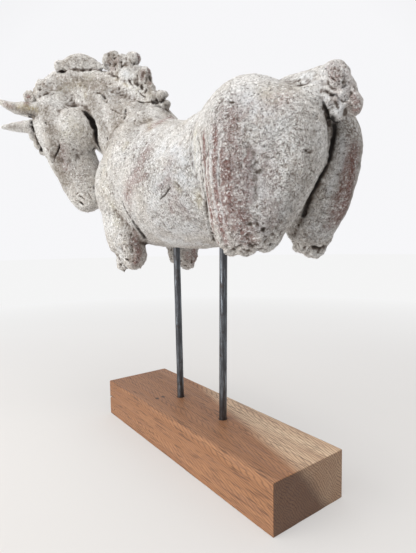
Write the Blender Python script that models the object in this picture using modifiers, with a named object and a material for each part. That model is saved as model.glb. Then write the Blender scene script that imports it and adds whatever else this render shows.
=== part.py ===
# Fired clay horse torso on two steel rods set in an oak block.
# Metres, +Z up. The origin is the centre of the block's underside.
# The horse faces -X, its left side is towards -Y, and its neck bends round to its left.

import math
import random

import bmesh
import bpy
from mathutils import Euler, Matrix, Vector

# Oak block
BLOCK_LENGTH = 0.309
BLOCK_WIDTH = 0.0865
BLOCK_HEIGHT = 0.045
BLOCK_EDGE_BREAK = 0.0007

# Steel rods, each given by where its axis leaves the block and how far it leans at the belly
ROD_DIAMETER = 0.008
ROD_CLEARANCE = 0.0003
ROD_DEPTH_IN_BLOCK = 0.030
ROD_DEPTH_IN_CLAY = 0.045
ROD_SIDES = 32
FRONT_ROD_X = -0.0440
FRONT_ROD_LEAN = -0.0019
REAR_ROD_X = 0.0379
REAR_ROD_LEAN = 0.0043

# Clay horse
BELLY_HEIGHT = 0.2235
TRUNK_LENGTH = 0.310
CLAY_VOXEL = 0.0026
CLAY_TRIANGLES = 8000
MUSCLE_SOFTENING = 14
CLAY_SOFTENING = 3

# Linear colours
CLAY_COLOUR = (0.49, 0.45, 0.40)
STEEL_COLOUR = (0.05, 0.055, 0.06)
OAK_COLOUR = (0.24, 0.11, 0.055)

# The horse is laid out in hundredths of its trunk length, from the lowest point of its belly
UNIT = TRUNK_LENGTH / 100


def figure_point(point):
    """A point of the figure, in hundredths of the trunk, as metres in the part's frame."""
    return Vector(point) * UNIT + Vector((0, 0, BELLY_HEIGHT))


def between(stations, steps):
    """Stations with more of them read from a Catmull-Rom curve through the given ones."""
    ends = [stations[0], *stations, stations[-1]]
    found = []
    for a, b, c, d in zip(ends, ends[1:], ends[2:], ends[3:]):
        for step in range(steps):
            t = step / steps
            found.append([
                0.5 * (2 * q + (r - p) * t + (2 * p - 5 * q + 4 * r - s) * t**2
                       + (3 * q - p - 3 * r + s) * t**3)
                for p, q, r, s in zip(a, b, c, d)
            ])
    return [*found, list(stations[-1])]


def add_ellipsoid(clay, centre, radii, turn=(0, 0, 0)):
    """A ball of clay with three radii, turned by Euler angles in degrees."""
    angles = Euler([math.radians(angle) for angle in turn])
    matrix = Matrix.LocRotScale(figure_point(centre), angles, Vector(radii) * UNIT)
    bmesh.ops.create_icosphere(clay, subdivisions=3, radius=1, matrix=matrix)


def add_chunk(clay, centre, radii, turn=(0, 0, 0), cuts=7, seed=1):
    """A torn chunk: a ball of clay with flat faces where a tool sliced or pressed it."""
    made = bmesh.ops.create_icosphere(clay, subdivisions=4, radius=1)["verts"]
    chance = random.Random(seed)
    for _ in range(cuts):
        facing = Vector([chance.gauss(0, 1) for _ in range(3)]).normalized()
        depth = chance.uniform(0.55, 0.85)
        for vert in made:
            over = vert.co.dot(facing) - depth
            if over > 0:
                vert.co -= facing * over * 0.9
    angles = Euler([math.radians(angle) for angle in turn])
    matrix = Matrix.LocRotScale(figure_point(centre), angles, Vector(radii) * UNIT)
    bmesh.ops.transform(clay, matrix=matrix, verts=made)


def add_roll(clay, stations, up=(0, 0, 1), sides=20, steps=4):
    """A roll of clay through stations of x, y, z, half width and half height, closed at both ends."""
    rows = between(stations, steps)
    centres = [figure_point(row[:3]) for row in rows]
    rings = []
    for i, (centre, row) in enumerate(zip(centres, rows)):
        along = (centres[min(i + 1, len(rows) - 1)] - centres[max(i - 1, 0)]).normalized()
        side = Vector(up).cross(along).normalized()
        over = along.cross(side)
        ring = []
        for corner in range(sides):
            angle = 2 * math.pi * corner / sides
            offset = side * (row[3] * math.cos(angle)) + over * (row[4] * math.sin(angle))
            ring.append(clay.verts.new(centre + offset * UNIT))
        rings.append(ring)
    for low, high in zip(rings, rings[1:]):
        for corner in range(sides):
            after = (corner + 1) % sides
            clay.faces.new((low[corner], low[after], high[after], high[corner]))
    clay.faces.new(list(reversed(rings[0])))
    clay.faces.new(rings[-1])


def evaluated_copy(form):
    graph = bpy.context.evaluated_depsgraph_get()
    return bpy.data.meshes.new_from_object(form.evaluated_get(graph))


def fused(clay, voxel, passes):
    """Overlapping masses as one closed skin, with the seams between them softened."""
    mesh = bpy.data.meshes.new("masses")
    clay.to_mesh(mesh)
    clay.free()
    form = bpy.data.objects.new("masses", mesh)
    bpy.context.scene.collection.objects.link(form)
    fuse = form.modifiers.new("Fuse", "REMESH")
    fuse.mode = "VOXEL"
    fuse.voxel_size = voxel
    soften = form.modifiers.new("Soften", "SMOOTH")
    soften.factor = 0.5
    soften.iterations = passes
    bpy.context.view_layer.update()
    skin = evaluated_copy(form)
    bpy.data.objects.remove(form)
    return skin


def add_trunk(clay):
    """Barrel, chest and croup, drawn along the horse from chest to buttocks."""
    add_roll(clay, [
        (-46, 0, 24, 8, 9),
        (-43, 0, 24, 16, 15),
        (-36, 0, 25, 20.5, 20.5),
        (-22, 0, 24.5, 21, 24),
        (-8, 0, 22.5, 20.5, 22.5),
        (4, 0, 21.5, 20, 21.5),
        (16, 0, 23, 19, 21.5),
        (28, 0, 25.5, 17.5, 20),
        (40, 0, 27, 15, 17),
        (50, 0, 28, 10, 12),
        (55, 0, 28, 6, 7),
    ], sides=36)


def add_haunch(clay, side):
    """Croup, buttock and thigh; the horse's right thigh is the slimmer one."""
    add_ellipsoid(clay, (35, 9 * side, 27), (19, 12, 18.6), (0, 12, 0))
    add_ellipsoid(clay, (45.5, 7 * side, 26), (13, 9, 14))
    add_ellipsoid(clay, (44, 4.5 * side, 36.8), (10, 5, 5), (0, 20, 0))
    thighs = {
        -1: [
            (44, -6.5, 34, 8, 10),
            (45.6, -7, 28, 8.5, 12.2),
            (45.5, -7.5, 22, 8.5, 12.1),
            (43.4, -9.2, 14, 8.4, 10.4),
            (40.6, -10.2, 8.4, 8, 8.4),
            (38.4, -9.8, 4.4, 7, 7.6),
            (37, -10, 2.6, 5.6, 5.6),
        ],
        1: [
            (44, 6.5, 34, 8, 10),
            (45.6, 7, 28, 8.5, 12.2),
            (45.5, 7.5, 22, 8.5, 12),
            (43.6, 8.8, 14, 8, 10.2),
            (42, 9.4, 8.4, 7.2, 8.4),
            (41, 10, 3, 5.4, 6.4),
            (40.6, 10, 0.8, 4.2, 5),
        ],
    }
    add_roll(clay, thighs[side], up=(1, 0, 0))
    add_roll(clay, [
        (36, 11 * side, 36, 9, 9),
        (37.5, 12.5 * side, 29, 10, 10),
        (38.8, 12 * side, 22, 9.2, 9),
        (39.2, 11.4 * side, 13, 8.2, 8.4),
        (39.2, 11 * side, 6, 6.8, 7),
        (39, 11 * side, 2.4, 5.2, 5.6),
    ], up=(1, 0, 0))


def add_thigh_slab(clay, side):
    """The slab of clay laid over the thigh, with a raised edge towards the flank and a torn end."""
    slabs = {
        -1: [
            (41, -11, 34, 7, 7),
            (39.5, -12.3, 27, 9.4, 9),
            (38.5, -13, 20, 9.8, 9.4),
            (38.5, -13, 13, 9.4, 9.4),
            (37.6, -12.8, 6, 8.4, 8),
            (36.2, -12.6, 2.8, 6.8, 6.2),
            (35.2, -12.6, 0.9, 5.4, 4.8),
        ],
        1: [
            (41, 10.6, 34, 7, 7),
            (39.5, 12, 27, 9, 8.8),
            (38.8, 12, 20, 8.8, 8.8),
            (39.4, 11.4, 13, 7.8, 8),
            (40, 10.6, 7, 6.6, 7),
            (40.6, 10, 3, 4.6, 5.6),
            (41, 10, 1, 3.8, 4.4),
        ],
    }
    add_roll(clay, slabs[side], up=(1, 0, 0), sides=28)
    ends = {
        -1: [((36.4, -14, 1), (4, 3.8, 2.6)), ((44.8, -12.6, 4.6), (3.8, 3.8, 3.2))],
        1: [((41.6, 10.4, 0.6), (4, 4, 3.8)), ((37.4, 10.6, 0.4), (2.8, 3, 2.4))],
    }
    for seed, (centre, radii) in enumerate(ends[side]):
        add_chunk(clay, centre, radii, seed=32 + side + seed)


def add_shoulder(clay, side):
    add_ellipsoid(clay, (-26, 11 * side, 30), (16, 11, 18), (0, -15, 0))
    add_ellipsoid(clay, (-33, 10.5 * side, 24), (15, 12.5, 17))
    add_roll(clay, [
        (-35, 11.5 * side, 26, 6, 8),
        (-33.6, 12.8 * side, 15, 7.4, 10.2),
        (-31.6, 13.2 * side, 7, 7, 10.2),
        (-30, 12.8 * side, 0, 6.2, 9.4),
    ], up=(1, 0, 0))


def add_foreleg(clay, side):
    """What is left of a foreleg: a stump that leans back from the shoulder, torn off at its end."""
    add_roll(clay, [
        (-34, 11 * side, 22, 5, 7),
        (-32.5, 13.2 * side, 12, 6.4, 8.8),
        (-30.5, 13.2 * side, 5, 5.8, 8.6),
        (-29, 12 * side, -2, 5.4, 8),
        (-28.4, 12 * side, -5.6, 4.9, 7),
    ], up=(1, 0, 0))
    if side < 0:
        add_chunk(clay, (-32.8, -13.4, -6.4), (2.6, 3, 3.7), (0, 10, 0), seed=21)
        add_chunk(clay, (-24.8, -12.6, -4.8), (3.6, 3.8, 2.8), seed=22)
        add_chunk(clay, (-25.4, -15.2, 1), (3, 2.6, 5), seed=23)
    else:
        add_chunk(clay, (-26, 12, -6.2), (4.8, 4, 3.2), seed=24)
        add_chunk(clay, (-32.4, 11.6, -4.6), (3.4, 3.6, 3), seed=25)


def add_neck(clay):
    add_roll(clay, [
        (-20, 0, 33, 11, 13),
        (-30, -1, 38.5, 14, 16.8),
        (-39, -4.5, 45, 12.5, 14.5),
        (-46.8, -8.4, 51, 9.8, 13),
        (-54.6, -13.3, 59, 7, 13),
        (-62, -20, 63.4, 5.5, 11),
        (-66.5, -27.3, 64.8, 5, 8.6),
        (-70, -32.5, 62.5, 5, 5),
    ], sides=28)
    add_roll(clay, [
        (-69, -31, 66, 3, 3),
        (-64, -25, 70.5, 3, 3),
        (-58.5, -18.5, 71.5, 3, 3),
        (-52, -12, 70.5, 3.5, 3.5),
        (-46, -7.5, 66.5, 4, 4.5),
        (-39, -3.6, 62, 4, 5),
        (-31, -1, 55.5, 4, 4),
        (-22, 0, 50.5, 4, 3.5),
    ])


# The head's own directions run down the face, out of the forehead and to its right
POLL = Vector((-67.2, -33.0, 59.3))
MUZZLE = Vector((-54.2, -18.9, 18.7))
HEAD_RIGHT = Vector((-0.93, 0.31, 0.19))


def head_axes():
    down = (MUZZLE - POLL).normalized()
    right = (HEAD_RIGHT - down * HEAD_RIGHT.dot(down)).normalized()
    return down, right.cross(down), right


def head_matrix():
    return Matrix(head_axes()).transposed()


def head_point(down, front, right=0.0):
    """A point of the head, from the poll, as a point of the figure."""
    return POLL + head_matrix() @ Vector((down, front, right))


def add_head_ball(clay, centre, radii):
    matrix = Matrix.LocRotScale(
        figure_point(head_point(*centre)), head_matrix().to_quaternion(), Vector(radii) * UNIT)
    bmesh.ops.create_icosphere(clay, subdivisions=3, radius=1, matrix=matrix)


def add_head(clay):
    stations = [
        (-2, -4, 5, 5),
        (3, -4, 6.8, 8.5),
        (9, -3.6, 7.6, 10),
        (16, -3.3, 7.4, 10.4),
        (24, -2.8, 6.4, 9.8),
        (30, -2.9, 5.8, 9.4),
        (36, -2.5, 5.4, 9),
        (42, -1.8, 5, 7.6),
        (45.6, -1.6, 4.6, 6),
        (47.6, -1.6, 3.4, 3.6),
    ]
    front = head_axes()[1]
    add_roll(clay, [(*head_point(s[0], s[1]), s[2], s[3]) for s in stations], up=front)
    add_head_ball(clay, (16.6, -9.4, -5.6), (9.4, 9.6, 6.8))
    add_head_ball(clay, (15.6, -8.6, 5.2), (9, 9.3, 6.8))
    for side in (-1, 1):
        add_head_ball(clay, (15.5, -2.5, 3.8 * side), (12, 7.4, 6.4))
    add_ellipsoid(clay, (-62.6, -26, 60.6), (4.8, 5, 6))


def add_ears(clay):
    """Two pricked ears, the horse's left one first."""
    left_ear = [
        (2.6, 0.6, -3.5, 2.4, 3.4),
        (0.2, 5, -3.2, 2.8, 3),
        (-2.7, 9.4, -2.6, 2.3, 2.2),
        (-6, 12.4, -2, 1.5, 1.3),
        (-8.5, 14.2, -1.5, 0.6, 0.5),
    ]
    right_ear = [
        (5.1, 1, 7.3, 1.6, 3.2),
        (2.2, 7.7, 7.6, 2, 3),
        (-0.2, 13.1, 8.1, 1.6, 2),
        (-2.5, 18.4, 8.6, 0.6, 0.8),
    ]
    for ear in (left_ear, right_ear):
        add_roll(clay, [(*head_point(*row[:3]), *row[3:]) for row in ear])


def add_mane(clay):
    """Torn lumps of clay pressed along the crest of the neck, and the forelock."""
    add_roll(clay, [
        (-65.8, -26.6, 77.2, 1.4, 1.7),
        (-64.6, -25.3, 77.2, 2.1, 2.3),
        (-63.3, -23.8, 77.1, 1.9, 2.2),
        (-61, -21.2, 77.6, 2.3, 3.4),
        (-58.5, -18.6, 77.8, 2.4, 3.9),
        (-55.5, -15.5, 76.9, 2.3, 3.2),
        (-53, -13, 75.7, 1.9, 2.2),
        (-51.4, -11.5, 74.9, 0.9, 1),
    ], steps=3)
    lumps = [
        ((-58.5, -18.6, 73.6), (7, 2.2, 2.4), (0, 2, 47)),
        ((-65.5, -27, 72.4), (3.6, 2.4, 2.2), (0, -25, 50)),
        ((-69, -31, 68.6), (2.8, 2.4, 3.4), (0, -25, 50)),
        ((-72.4, -35.6, 64.3), (2.6, 2.4, 3.2), (0, -25, 55)),
        ((-47.4, -8.5, 77), (4.6, 3.2, 4.2), (0, 8, 34)),
        ((-45.2, -7.2, 72.6), (5.6, 3, 3.2), (0, 8, 34)),
        ((-43, -5.8, 74.6), (4.6, 2.8, 4.2), (0, 8, 30)),
        ((-42, -5, 70), (5.4, 3.6, 4.6), (0, 8, 30)),
        ((-38.8, -3.6, 76.1), (3.9, 2.8, 3.7), (0, 6, 22)),
        ((-38.4, -3.4, 69.6), (7.2, 3.6, 4.8), (0, 25, 22)),
        ((-33, -1.6, 67.6), (2.8, 2.6, 4.4), (0, 10, 10)),
        ((-31.2, -0.9, 67.2), (1, 2.2, 3.9), (0, 10, 10)),
        ((-31.6, -1, 63.8), (3, 2.6, 3.6), (0, 0, 10)),
        ((-30, -0.8, 58.9), (7.4, 3.2, 3.8), (0, 24, 6)),
        ((-22.5, 0, 58.1), (2.6, 2.5, 2.3), (0, 0, 0)),
        ((-21.8, 0, 54.6), (2.8, 2.6, 1.9), (0, 0, 0)),
        ((-29.6, -1, 54.2), (3.4, 2.8, 2), (0, 10, 0)),
    ]
    for seed, (centre, radii, turn) in enumerate(lumps):
        add_chunk(clay, centre, radii, turn, seed=seed)
    forelock = [
        ((3.4, 6.6, 4.6), (2.6, 2.6, 2.4)),
        ((8.2, 7.2, 3.6), (2.6, 2.6, 2.4)),
        ((12.8, 7, 2.4), (2.8, 2.3, 2.2)),
        ((16.8, 7, 1), (1.9, 1.7, 1.8)),
    ]
    for centre, radii in forelock:
        add_head_ball(clay, centre, radii)


def add_tail(clay):
    """A tail rolled up into a coil, with folds of clay bunched under it."""
    add_roll(clay, [
        (36, 0, 40.4, 4, 4),
        (42, 0, 41.3, 3.9, 3.4),
        (49, 0, 40.9, 3.8, 3.4),
        (54, -0.4, 40.3, 3.8, 3.6),
        (57, -0.8, 38.6, 3.5, 3.6),
        (57.8, -1, 36, 3.4, 3.4),
    ], up=(0, 1, 0))
    folds = [
        ((56.3, -2.5, 34.4), (2.9, 2.9, 4.3)),
        ((60.9, 0.6, 34), (2.5, 2.9, 3.7)),
        ((60, 0, 37.2), (2.4, 2.6, 2.8)),
        ((58.8, -1.6, 31.8), (2, 2.2, 2.4)),
        ((58.6, -1.4, 35.8), (2.8, 2.8, 3.4)),
    ]
    add_ellipsoid(clay, (57.3, -1.6, 39.9), (4.2, 3.6, 3.8))
    for side in (-1, 1):
        add_ellipsoid(clay, (53.2, 5.4 * side, 36.2), (3, 2.6, 3))
    for seed, (centre, radii) in enumerate(folds):
        add_chunk(clay, centre, radii, cuts=5, seed=41 + seed)


def clay_skin():
    """The whole horse as one closed skin: soft muscles first, then the crisper masses."""
    muscles = bmesh.new()
    add_trunk(muscles)
    for side in (-1, 1):
        add_haunch(muscles, side)
        add_shoulder(muscles, side)
    add_neck(muscles)
    body = fused(muscles, CLAY_VOXEL, MUSCLE_SOFTENING)
    form = bmesh.new()
    form.from_mesh(body)
    for side in (-1, 1):
        add_thigh_slab(form, side)
        add_foreleg(form, side)
    add_head(form)
    add_ears(form)
    add_mane(form)
    add_tail(form)
    return fused(form, CLAY_VOXEL, CLAY_SOFTENING)


def material(name, colour, roughness, metallic=0.0):
    surface = bpy.data.materials.new(name)
    surface.use_nodes = True
    shader = surface.node_tree.nodes["Principled BSDF"]
    shader.inputs["Base Color"].default_value = (*colour, 1)
    shader.inputs["Roughness"].default_value = roughness
    shader.inputs["Metallic"].default_value = metallic
    surface.diffuse_color = (*colour, 1)
    return surface


def placed(name, mesh, collection, surface=None):
    piece = bpy.data.objects.new(name, mesh)
    collection.objects.link(piece)
    if surface:
        mesh.materials.append(surface)
    return piece


def rod_axis(base_x, lean):
    """Where a rod's axis leaves the block, and the way it points."""
    base = Vector((base_x, 0, BLOCK_HEIGHT))
    top = Vector((base_x + lean, 0, BELLY_HEIGHT))
    return base, (top - base).normalized()


def rod_mesh(name, base_x, lean, widening=0.0):
    """A round bar along the rod's axis; widened on every side, it is the socket's cutter."""
    base, along = rod_axis(base_x, lean)
    low = base - along * (ROD_DEPTH_IN_BLOCK + widening)
    to_belly = (BELLY_HEIGHT - BLOCK_HEIGHT) / along.z
    high = base + along * (to_belly + ROD_DEPTH_IN_CLAY + widening)
    bar = bmesh.new()
    bmesh.ops.create_cone(
        bar, cap_ends=True, segments=ROD_SIDES, radius1=ROD_DIAMETER / 2 + widening,
        radius2=ROD_DIAMETER / 2 + widening, depth=(high - low).length,
        matrix=Matrix.LocRotScale((low + high) / 2, along.to_track_quat("Z", "Y"), None))
    mesh = bpy.data.meshes.new(name)
    bar.to_mesh(mesh)
    bar.free()
    return mesh


def block_mesh():
    size = Vector((BLOCK_LENGTH, BLOCK_WIDTH, BLOCK_HEIGHT))
    form = bmesh.new()
    bmesh.ops.create_cube(
        form, size=1, matrix=Matrix.LocRotScale(Vector((0, 0, BLOCK_HEIGHT / 2)), None, size))
    mesh = bpy.data.meshes.new("oak_block")
    form.to_mesh(mesh)
    form.free()
    return mesh


def cut(piece, cutter):
    socket = piece.modifiers.new("Socket of " + cutter.name, "BOOLEAN")
    socket.operation = "DIFFERENCE"
    socket.solver = "EXACT"
    socket.object = cutter


def build():
    for leftover in list(bpy.data.objects):
        bpy.data.objects.remove(leftover)
    pieces = bpy.data.collections.new("Clay horse on rods")
    cutters = bpy.data.collections.new("Cutters")
    for collection in (pieces, cutters):
        bpy.context.scene.collection.children.link(collection)
    clay = material("fired_clay", CLAY_COLOUR, 0.9)
    steel = material("blackened_steel", STEEL_COLOUR, 0.4, 1.0)
    oak = material("oiled_oak", OAK_COLOUR, 0.55)

    horse = placed("horse", clay_skin(), pieces, clay)
    count = sum(len(face.vertices) - 2 for face in horse.data.polygons)
    thin = horse.modifiers.new("Fewer faces", "DECIMATE")
    thin.ratio = CLAY_TRIANGLES / count
    thin.use_collapse_triangulate = True

    block = placed("oak_block", block_mesh(), pieces, oak)
    ease = block.modifiers.new("Broken edges", "BEVEL")
    ease.width = BLOCK_EDGE_BREAK
    ease.segments = 1
    ease.limit_method = "ANGLE"

    for name, base_x, lean in (
        ("front_rod", FRONT_ROD_X, FRONT_ROD_LEAN),
        ("rear_rod", REAR_ROD_X, REAR_ROD_LEAN),
    ):
        placed(name, rod_mesh(name, base_x, lean), pieces, steel)
        hole = name + "_socket"
        cutter = placed(hole, rod_mesh(hole, base_x, lean, ROD_CLEARANCE), cutters)
        cutter.hide_render = True
        cutter.display_type = "WIRE"
        cut(horse, cutter)
        cut(block, cutter)


build()
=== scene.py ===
# Fired clay horse torso on two blackened steel rods set in an oak block.
# Metres, +Z up. The horse faces -X, its left side is towards -Y, and its neck bends round to its left.
import math
import random

import bmesh
import bpy
import numpy as np
from mathutils import Euler, Matrix, Vector
from mathutils.bvhtree import BVHTree
from mathutils.kdtree import KDTree


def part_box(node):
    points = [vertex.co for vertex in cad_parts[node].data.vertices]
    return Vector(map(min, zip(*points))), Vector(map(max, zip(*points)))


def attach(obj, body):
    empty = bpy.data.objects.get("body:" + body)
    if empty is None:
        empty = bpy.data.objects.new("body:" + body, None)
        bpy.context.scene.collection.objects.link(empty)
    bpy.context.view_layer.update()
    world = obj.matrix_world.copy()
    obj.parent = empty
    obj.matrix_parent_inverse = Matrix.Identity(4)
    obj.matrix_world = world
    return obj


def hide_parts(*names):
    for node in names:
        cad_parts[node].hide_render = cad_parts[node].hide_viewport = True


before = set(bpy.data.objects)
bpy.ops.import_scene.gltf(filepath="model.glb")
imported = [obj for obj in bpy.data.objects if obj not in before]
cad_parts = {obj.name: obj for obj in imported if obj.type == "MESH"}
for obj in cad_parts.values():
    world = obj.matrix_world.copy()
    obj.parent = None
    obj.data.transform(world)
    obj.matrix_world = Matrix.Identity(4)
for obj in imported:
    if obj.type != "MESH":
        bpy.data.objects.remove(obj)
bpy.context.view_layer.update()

# The photograph's camera: where it stands, which way is right and up for it, and its focal length
PHOTO_WIDTH = 416
PHOTO_HEIGHT = 553
CAMERA_PLACE = Vector((0.376065, -0.265725, 0.23229))
CAMERA_RIGHT = Vector((0.594084, 0.804252, -0.015563))
CAMERA_UP = Vector((-0.059528, 0.063250, 0.996221))
FOCAL_PIXELS = 422.553
BACKDROP = (-0.8, 0.6, 0)

# Oak block
BLOCK_LENGTH = 0.309
BLOCK_WIDTH = 0.0865
BLOCK_HEIGHT = 0.045

# Steel rods
ROD_DIAMETER = 0.008
ROD_CLEARANCE = 0.0003
ROD_DEPTH_IN_BLOCK = 0.030
ROD_DEPTH_IN_CLAY = 0.045
FRONT_ROD = (-0.0440, -0.0019)
REAR_ROD = (0.0379, 0.0043)

# Clay horse, laid out in hundredths of its trunk length from the lowest point of its belly
BELLY_HEIGHT = 0.2235
TRUNK_LENGTH = 0.310
UNIT = TRUNK_LENGTH / 100
MUSCLE_VOXEL = 0.0026
MUSCLE_SOFTENING = 14
CLAY_VOXEL = 0.0014
CLAY_SOFTENING = 3
CLAY_TRIANGLES = 190000
MM = 0.001


def figure_point(point):
    """A point of the figure, in hundredths of the trunk, as metres in the frame."""
    return Vector(point) * UNIT + Vector((0, 0, BELLY_HEIGHT))


# Clay in the soft: rolls and balls pressed together

def between(stations, steps):
    """Stations with more of them read from a Catmull-Rom curve through the given ones."""
    ends = [stations[0], *stations, stations[-1]]
    found = []
    for a, b, c, d in zip(ends, ends[1:], ends[2:], ends[3:]):
        for step in range(steps):
            t = step / steps
            found.append([
                0.5 * (2 * q + (r - p) * t + (2 * p - 5 * q + 4 * r - s) * t**2
                       + (3 * q - p - 3 * r + s) * t**3)
                for p, q, r, s in zip(a, b, c, d)
            ])
    return [*found, list(stations[-1])]


def add_ellipsoid(clay, centre, radii, turn=(0, 0, 0)):
    """A ball of clay with three radii, turned by Euler angles in degrees."""
    angles = Euler([math.radians(angle) for angle in turn])
    matrix = Matrix.LocRotScale(figure_point(centre), angles, Vector(radii) * UNIT)
    bmesh.ops.create_icosphere(clay, subdivisions=3, radius=1, matrix=matrix)


def add_chunk(clay, centre, radii, turn=(0, 0, 0), cuts=7, seed=1):
    """A torn chunk: a ball of clay with flat faces where a tool sliced or pressed it."""
    made = bmesh.ops.create_icosphere(clay, subdivisions=4, radius=1)["verts"]
    chance = random.Random(seed)
    for _ in range(cuts):
        facing = Vector([chance.gauss(0, 1) for _ in range(3)]).normalized()
        depth = chance.uniform(0.55, 0.85)
        for vert in made:
            over = vert.co.dot(facing) - depth
            if over > 0:
                vert.co -= facing * over * 0.9
    angles = Euler([math.radians(angle) for angle in turn])
    matrix = Matrix.LocRotScale(figure_point(centre), angles, Vector(radii) * UNIT)
    bmesh.ops.transform(clay, matrix=matrix, verts=made)


def add_roll(clay, stations, up=(0, 0, 1), sides=20, steps=4):
    """A roll of clay through stations of x, y, z, half width and half height, closed at both ends."""
    rows = between(stations, steps)
    centres = [figure_point(row[:3]) for row in rows]
    rings = []
    for i, (centre, row) in enumerate(zip(centres, rows)):
        along = (centres[min(i + 1, len(rows) - 1)] - centres[max(i - 1, 0)]).normalized()
        side = Vector(up).cross(along).normalized()
        over = along.cross(side)
        ring = []
        for corner in range(sides):
            angle = 2 * math.pi * corner / sides
            offset = side * (row[3] * math.cos(angle)) + over * (row[4] * math.sin(angle))
            ring.append(clay.verts.new(centre + offset * UNIT))
        rings.append(ring)
    for low, high in zip(rings, rings[1:]):
        for corner in range(sides):
            after = (corner + 1) % sides
            clay.faces.new((low[corner], low[after], high[after], high[corner]))
    clay.faces.new(list(reversed(rings[0])))
    clay.faces.new(rings[-1])


def evaluated_copy(form):
    graph = bpy.context.evaluated_depsgraph_get()
    return bpy.data.meshes.new_from_object(form.evaluated_get(graph))


def linked(name, mesh):
    form = bpy.data.objects.new(name, mesh)
    bpy.context.scene.collection.objects.link(form)
    return form


def fused(clay, voxel, passes):
    """Overlapping masses as one closed skin, with the seams between them softened."""
    mesh = bpy.data.meshes.new("masses")
    clay.to_mesh(mesh)
    clay.free()
    form = linked("masses", mesh)
    fuse = form.modifiers.new("Fuse", "REMESH")
    fuse.mode = "VOXEL"
    fuse.voxel_size = voxel
    soften = form.modifiers.new("Soften", "SMOOTH")
    soften.factor = 0.5
    soften.iterations = passes
    bpy.context.view_layer.update()
    skin = evaluated_copy(form)
    bpy.data.objects.remove(form)
    return skin


def add_trunk(clay):
    """Barrel, chest and croup, drawn along the horse from chest to buttocks."""
    add_roll(clay, [
        (-46, 0, 24, 8, 9),
        (-43, 0, 24, 16, 15),
        (-36, 0, 25, 20.5, 20.5),
        (-22, 0, 24.5, 21, 24),
        (-8, 0, 22.5, 20.5, 22.5),
        (4, 0, 21.5, 20, 21.5),
        (16, 0, 23, 19, 21.5),
        (28, 0, 25.5, 17.5, 20),
        (40, 0, 27, 15, 17),
        (50, 0, 28, 10, 12),
        (55, 0, 28, 6, 7),
    ], sides=36)


def add_haunch(clay, side):
    """Croup, buttock and thigh; the horse's right thigh is the slimmer one."""
    add_ellipsoid(clay, (35, 9 * side, 27), (19, 12, 18.6), (0, 12, 0))
    add_ellipsoid(clay, (45.5, 7 * side, 26), (13, 9, 14))
    add_ellipsoid(clay, (44, 4.5 * side, 36.8), (10, 5, 5), (0, 20, 0))
    thighs = {
        -1: [
            (44, -6.5, 34, 8, 10),
            (45.6, -7, 28, 8.5, 12.2),
            (45.5, -7.5, 22, 8.5, 12.1),
            (43.4, -9.2, 14, 8.4, 10.4),
            (40.6, -10.2, 8.4, 8, 8.4),
            (38.4, -9.8, 4.4, 7, 7.6),
            (37, -10, 2.6, 5.6, 5.6),
        ],
        1: [
            (44, 6.5, 34, 8, 10),
            (45.6, 7, 28, 8.5, 12.2),
            (45.5, 7.5, 22, 8.5, 12),
            (43.6, 8.8, 14, 8, 10.2),
            (42, 9.4, 8.4, 7.2, 8.4),
            (41, 10, 3, 5.4, 6.4),
            (40.6, 10, 0.8, 4.2, 5),
        ],
    }
    add_roll(clay, thighs[side], up=(1, 0, 0))
    add_roll(clay, [
        (36, 11 * side, 36, 9, 9),
        (37.5, 12.5 * side, 29, 10, 10),
        (38.8, 12 * side, 22, 9.2, 9),
        (39.2, 11.4 * side, 13, 8.2, 8.4),
        (39.2, 11 * side, 6, 6.8, 7),
        (39, 11 * side, 2.4, 5.2, 5.6),
    ], up=(1, 0, 0))


def add_thigh_slab(clay, side):
    """The slab of clay laid over the thigh, with a raised edge towards the flank and a torn end."""
    slabs = {
        -1: [
            (41, -11, 34, 7, 7),
            (39.5, -12.3, 27, 9.4, 9),
            (38.5, -13, 20, 9.8, 9.4),
            (38.5, -13, 13, 9.4, 9.4),
            (37.6, -12.8, 6, 8.4, 8),
            (36.2, -12.6, 2.8, 6.8, 6.2),
            (35.2, -12.6, 0.9, 5.4, 4.8),
        ],
        1: [
            (41, 10.6, 34, 7, 7),
            (39.5, 12, 27, 9, 8.8),
            (38.8, 12, 20, 8.8, 8.8),
            (39.4, 11.4, 13, 7.8, 8),
            (40, 10.6, 7, 6.6, 7),
            (40.6, 10, 3, 4.6, 5.6),
            (41, 10, 1, 3.8, 4.4),
        ],
    }
    add_roll(clay, slabs[side], up=(1, 0, 0), sides=28)
    ends = {
        -1: [((36.4, -14, 1), (4, 3.8, 2.6)), ((44.8, -12.6, 4.6), (3.8, 3.8, 3.2))],
        1: [((41.6, 10.4, 0.6), (4, 4, 3.8)), ((37.4, 10.6, 0.4), (2.8, 3, 2.4))],
    }
    for seed, (centre, radii) in enumerate(ends[side]):
        add_chunk(clay, centre, radii, seed=32 + side + seed)


def add_shoulder(clay, side):
    add_ellipsoid(clay, (-26, 11 * side, 30), (16, 11, 18), (0, -15, 0))
    add_ellipsoid(clay, (-33, 10.5 * side, 24), (15, 12.5, 17))
    add_roll(clay, [
        (-35, 11.5 * side, 26, 6, 8),
        (-33.6, 12.8 * side, 15, 7.4, 10.2),
        (-31.6, 13.2 * side, 7, 7, 10.2),
        (-30, 12.8 * side, 0, 6.2, 9.4),
    ], up=(1, 0, 0))


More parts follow.
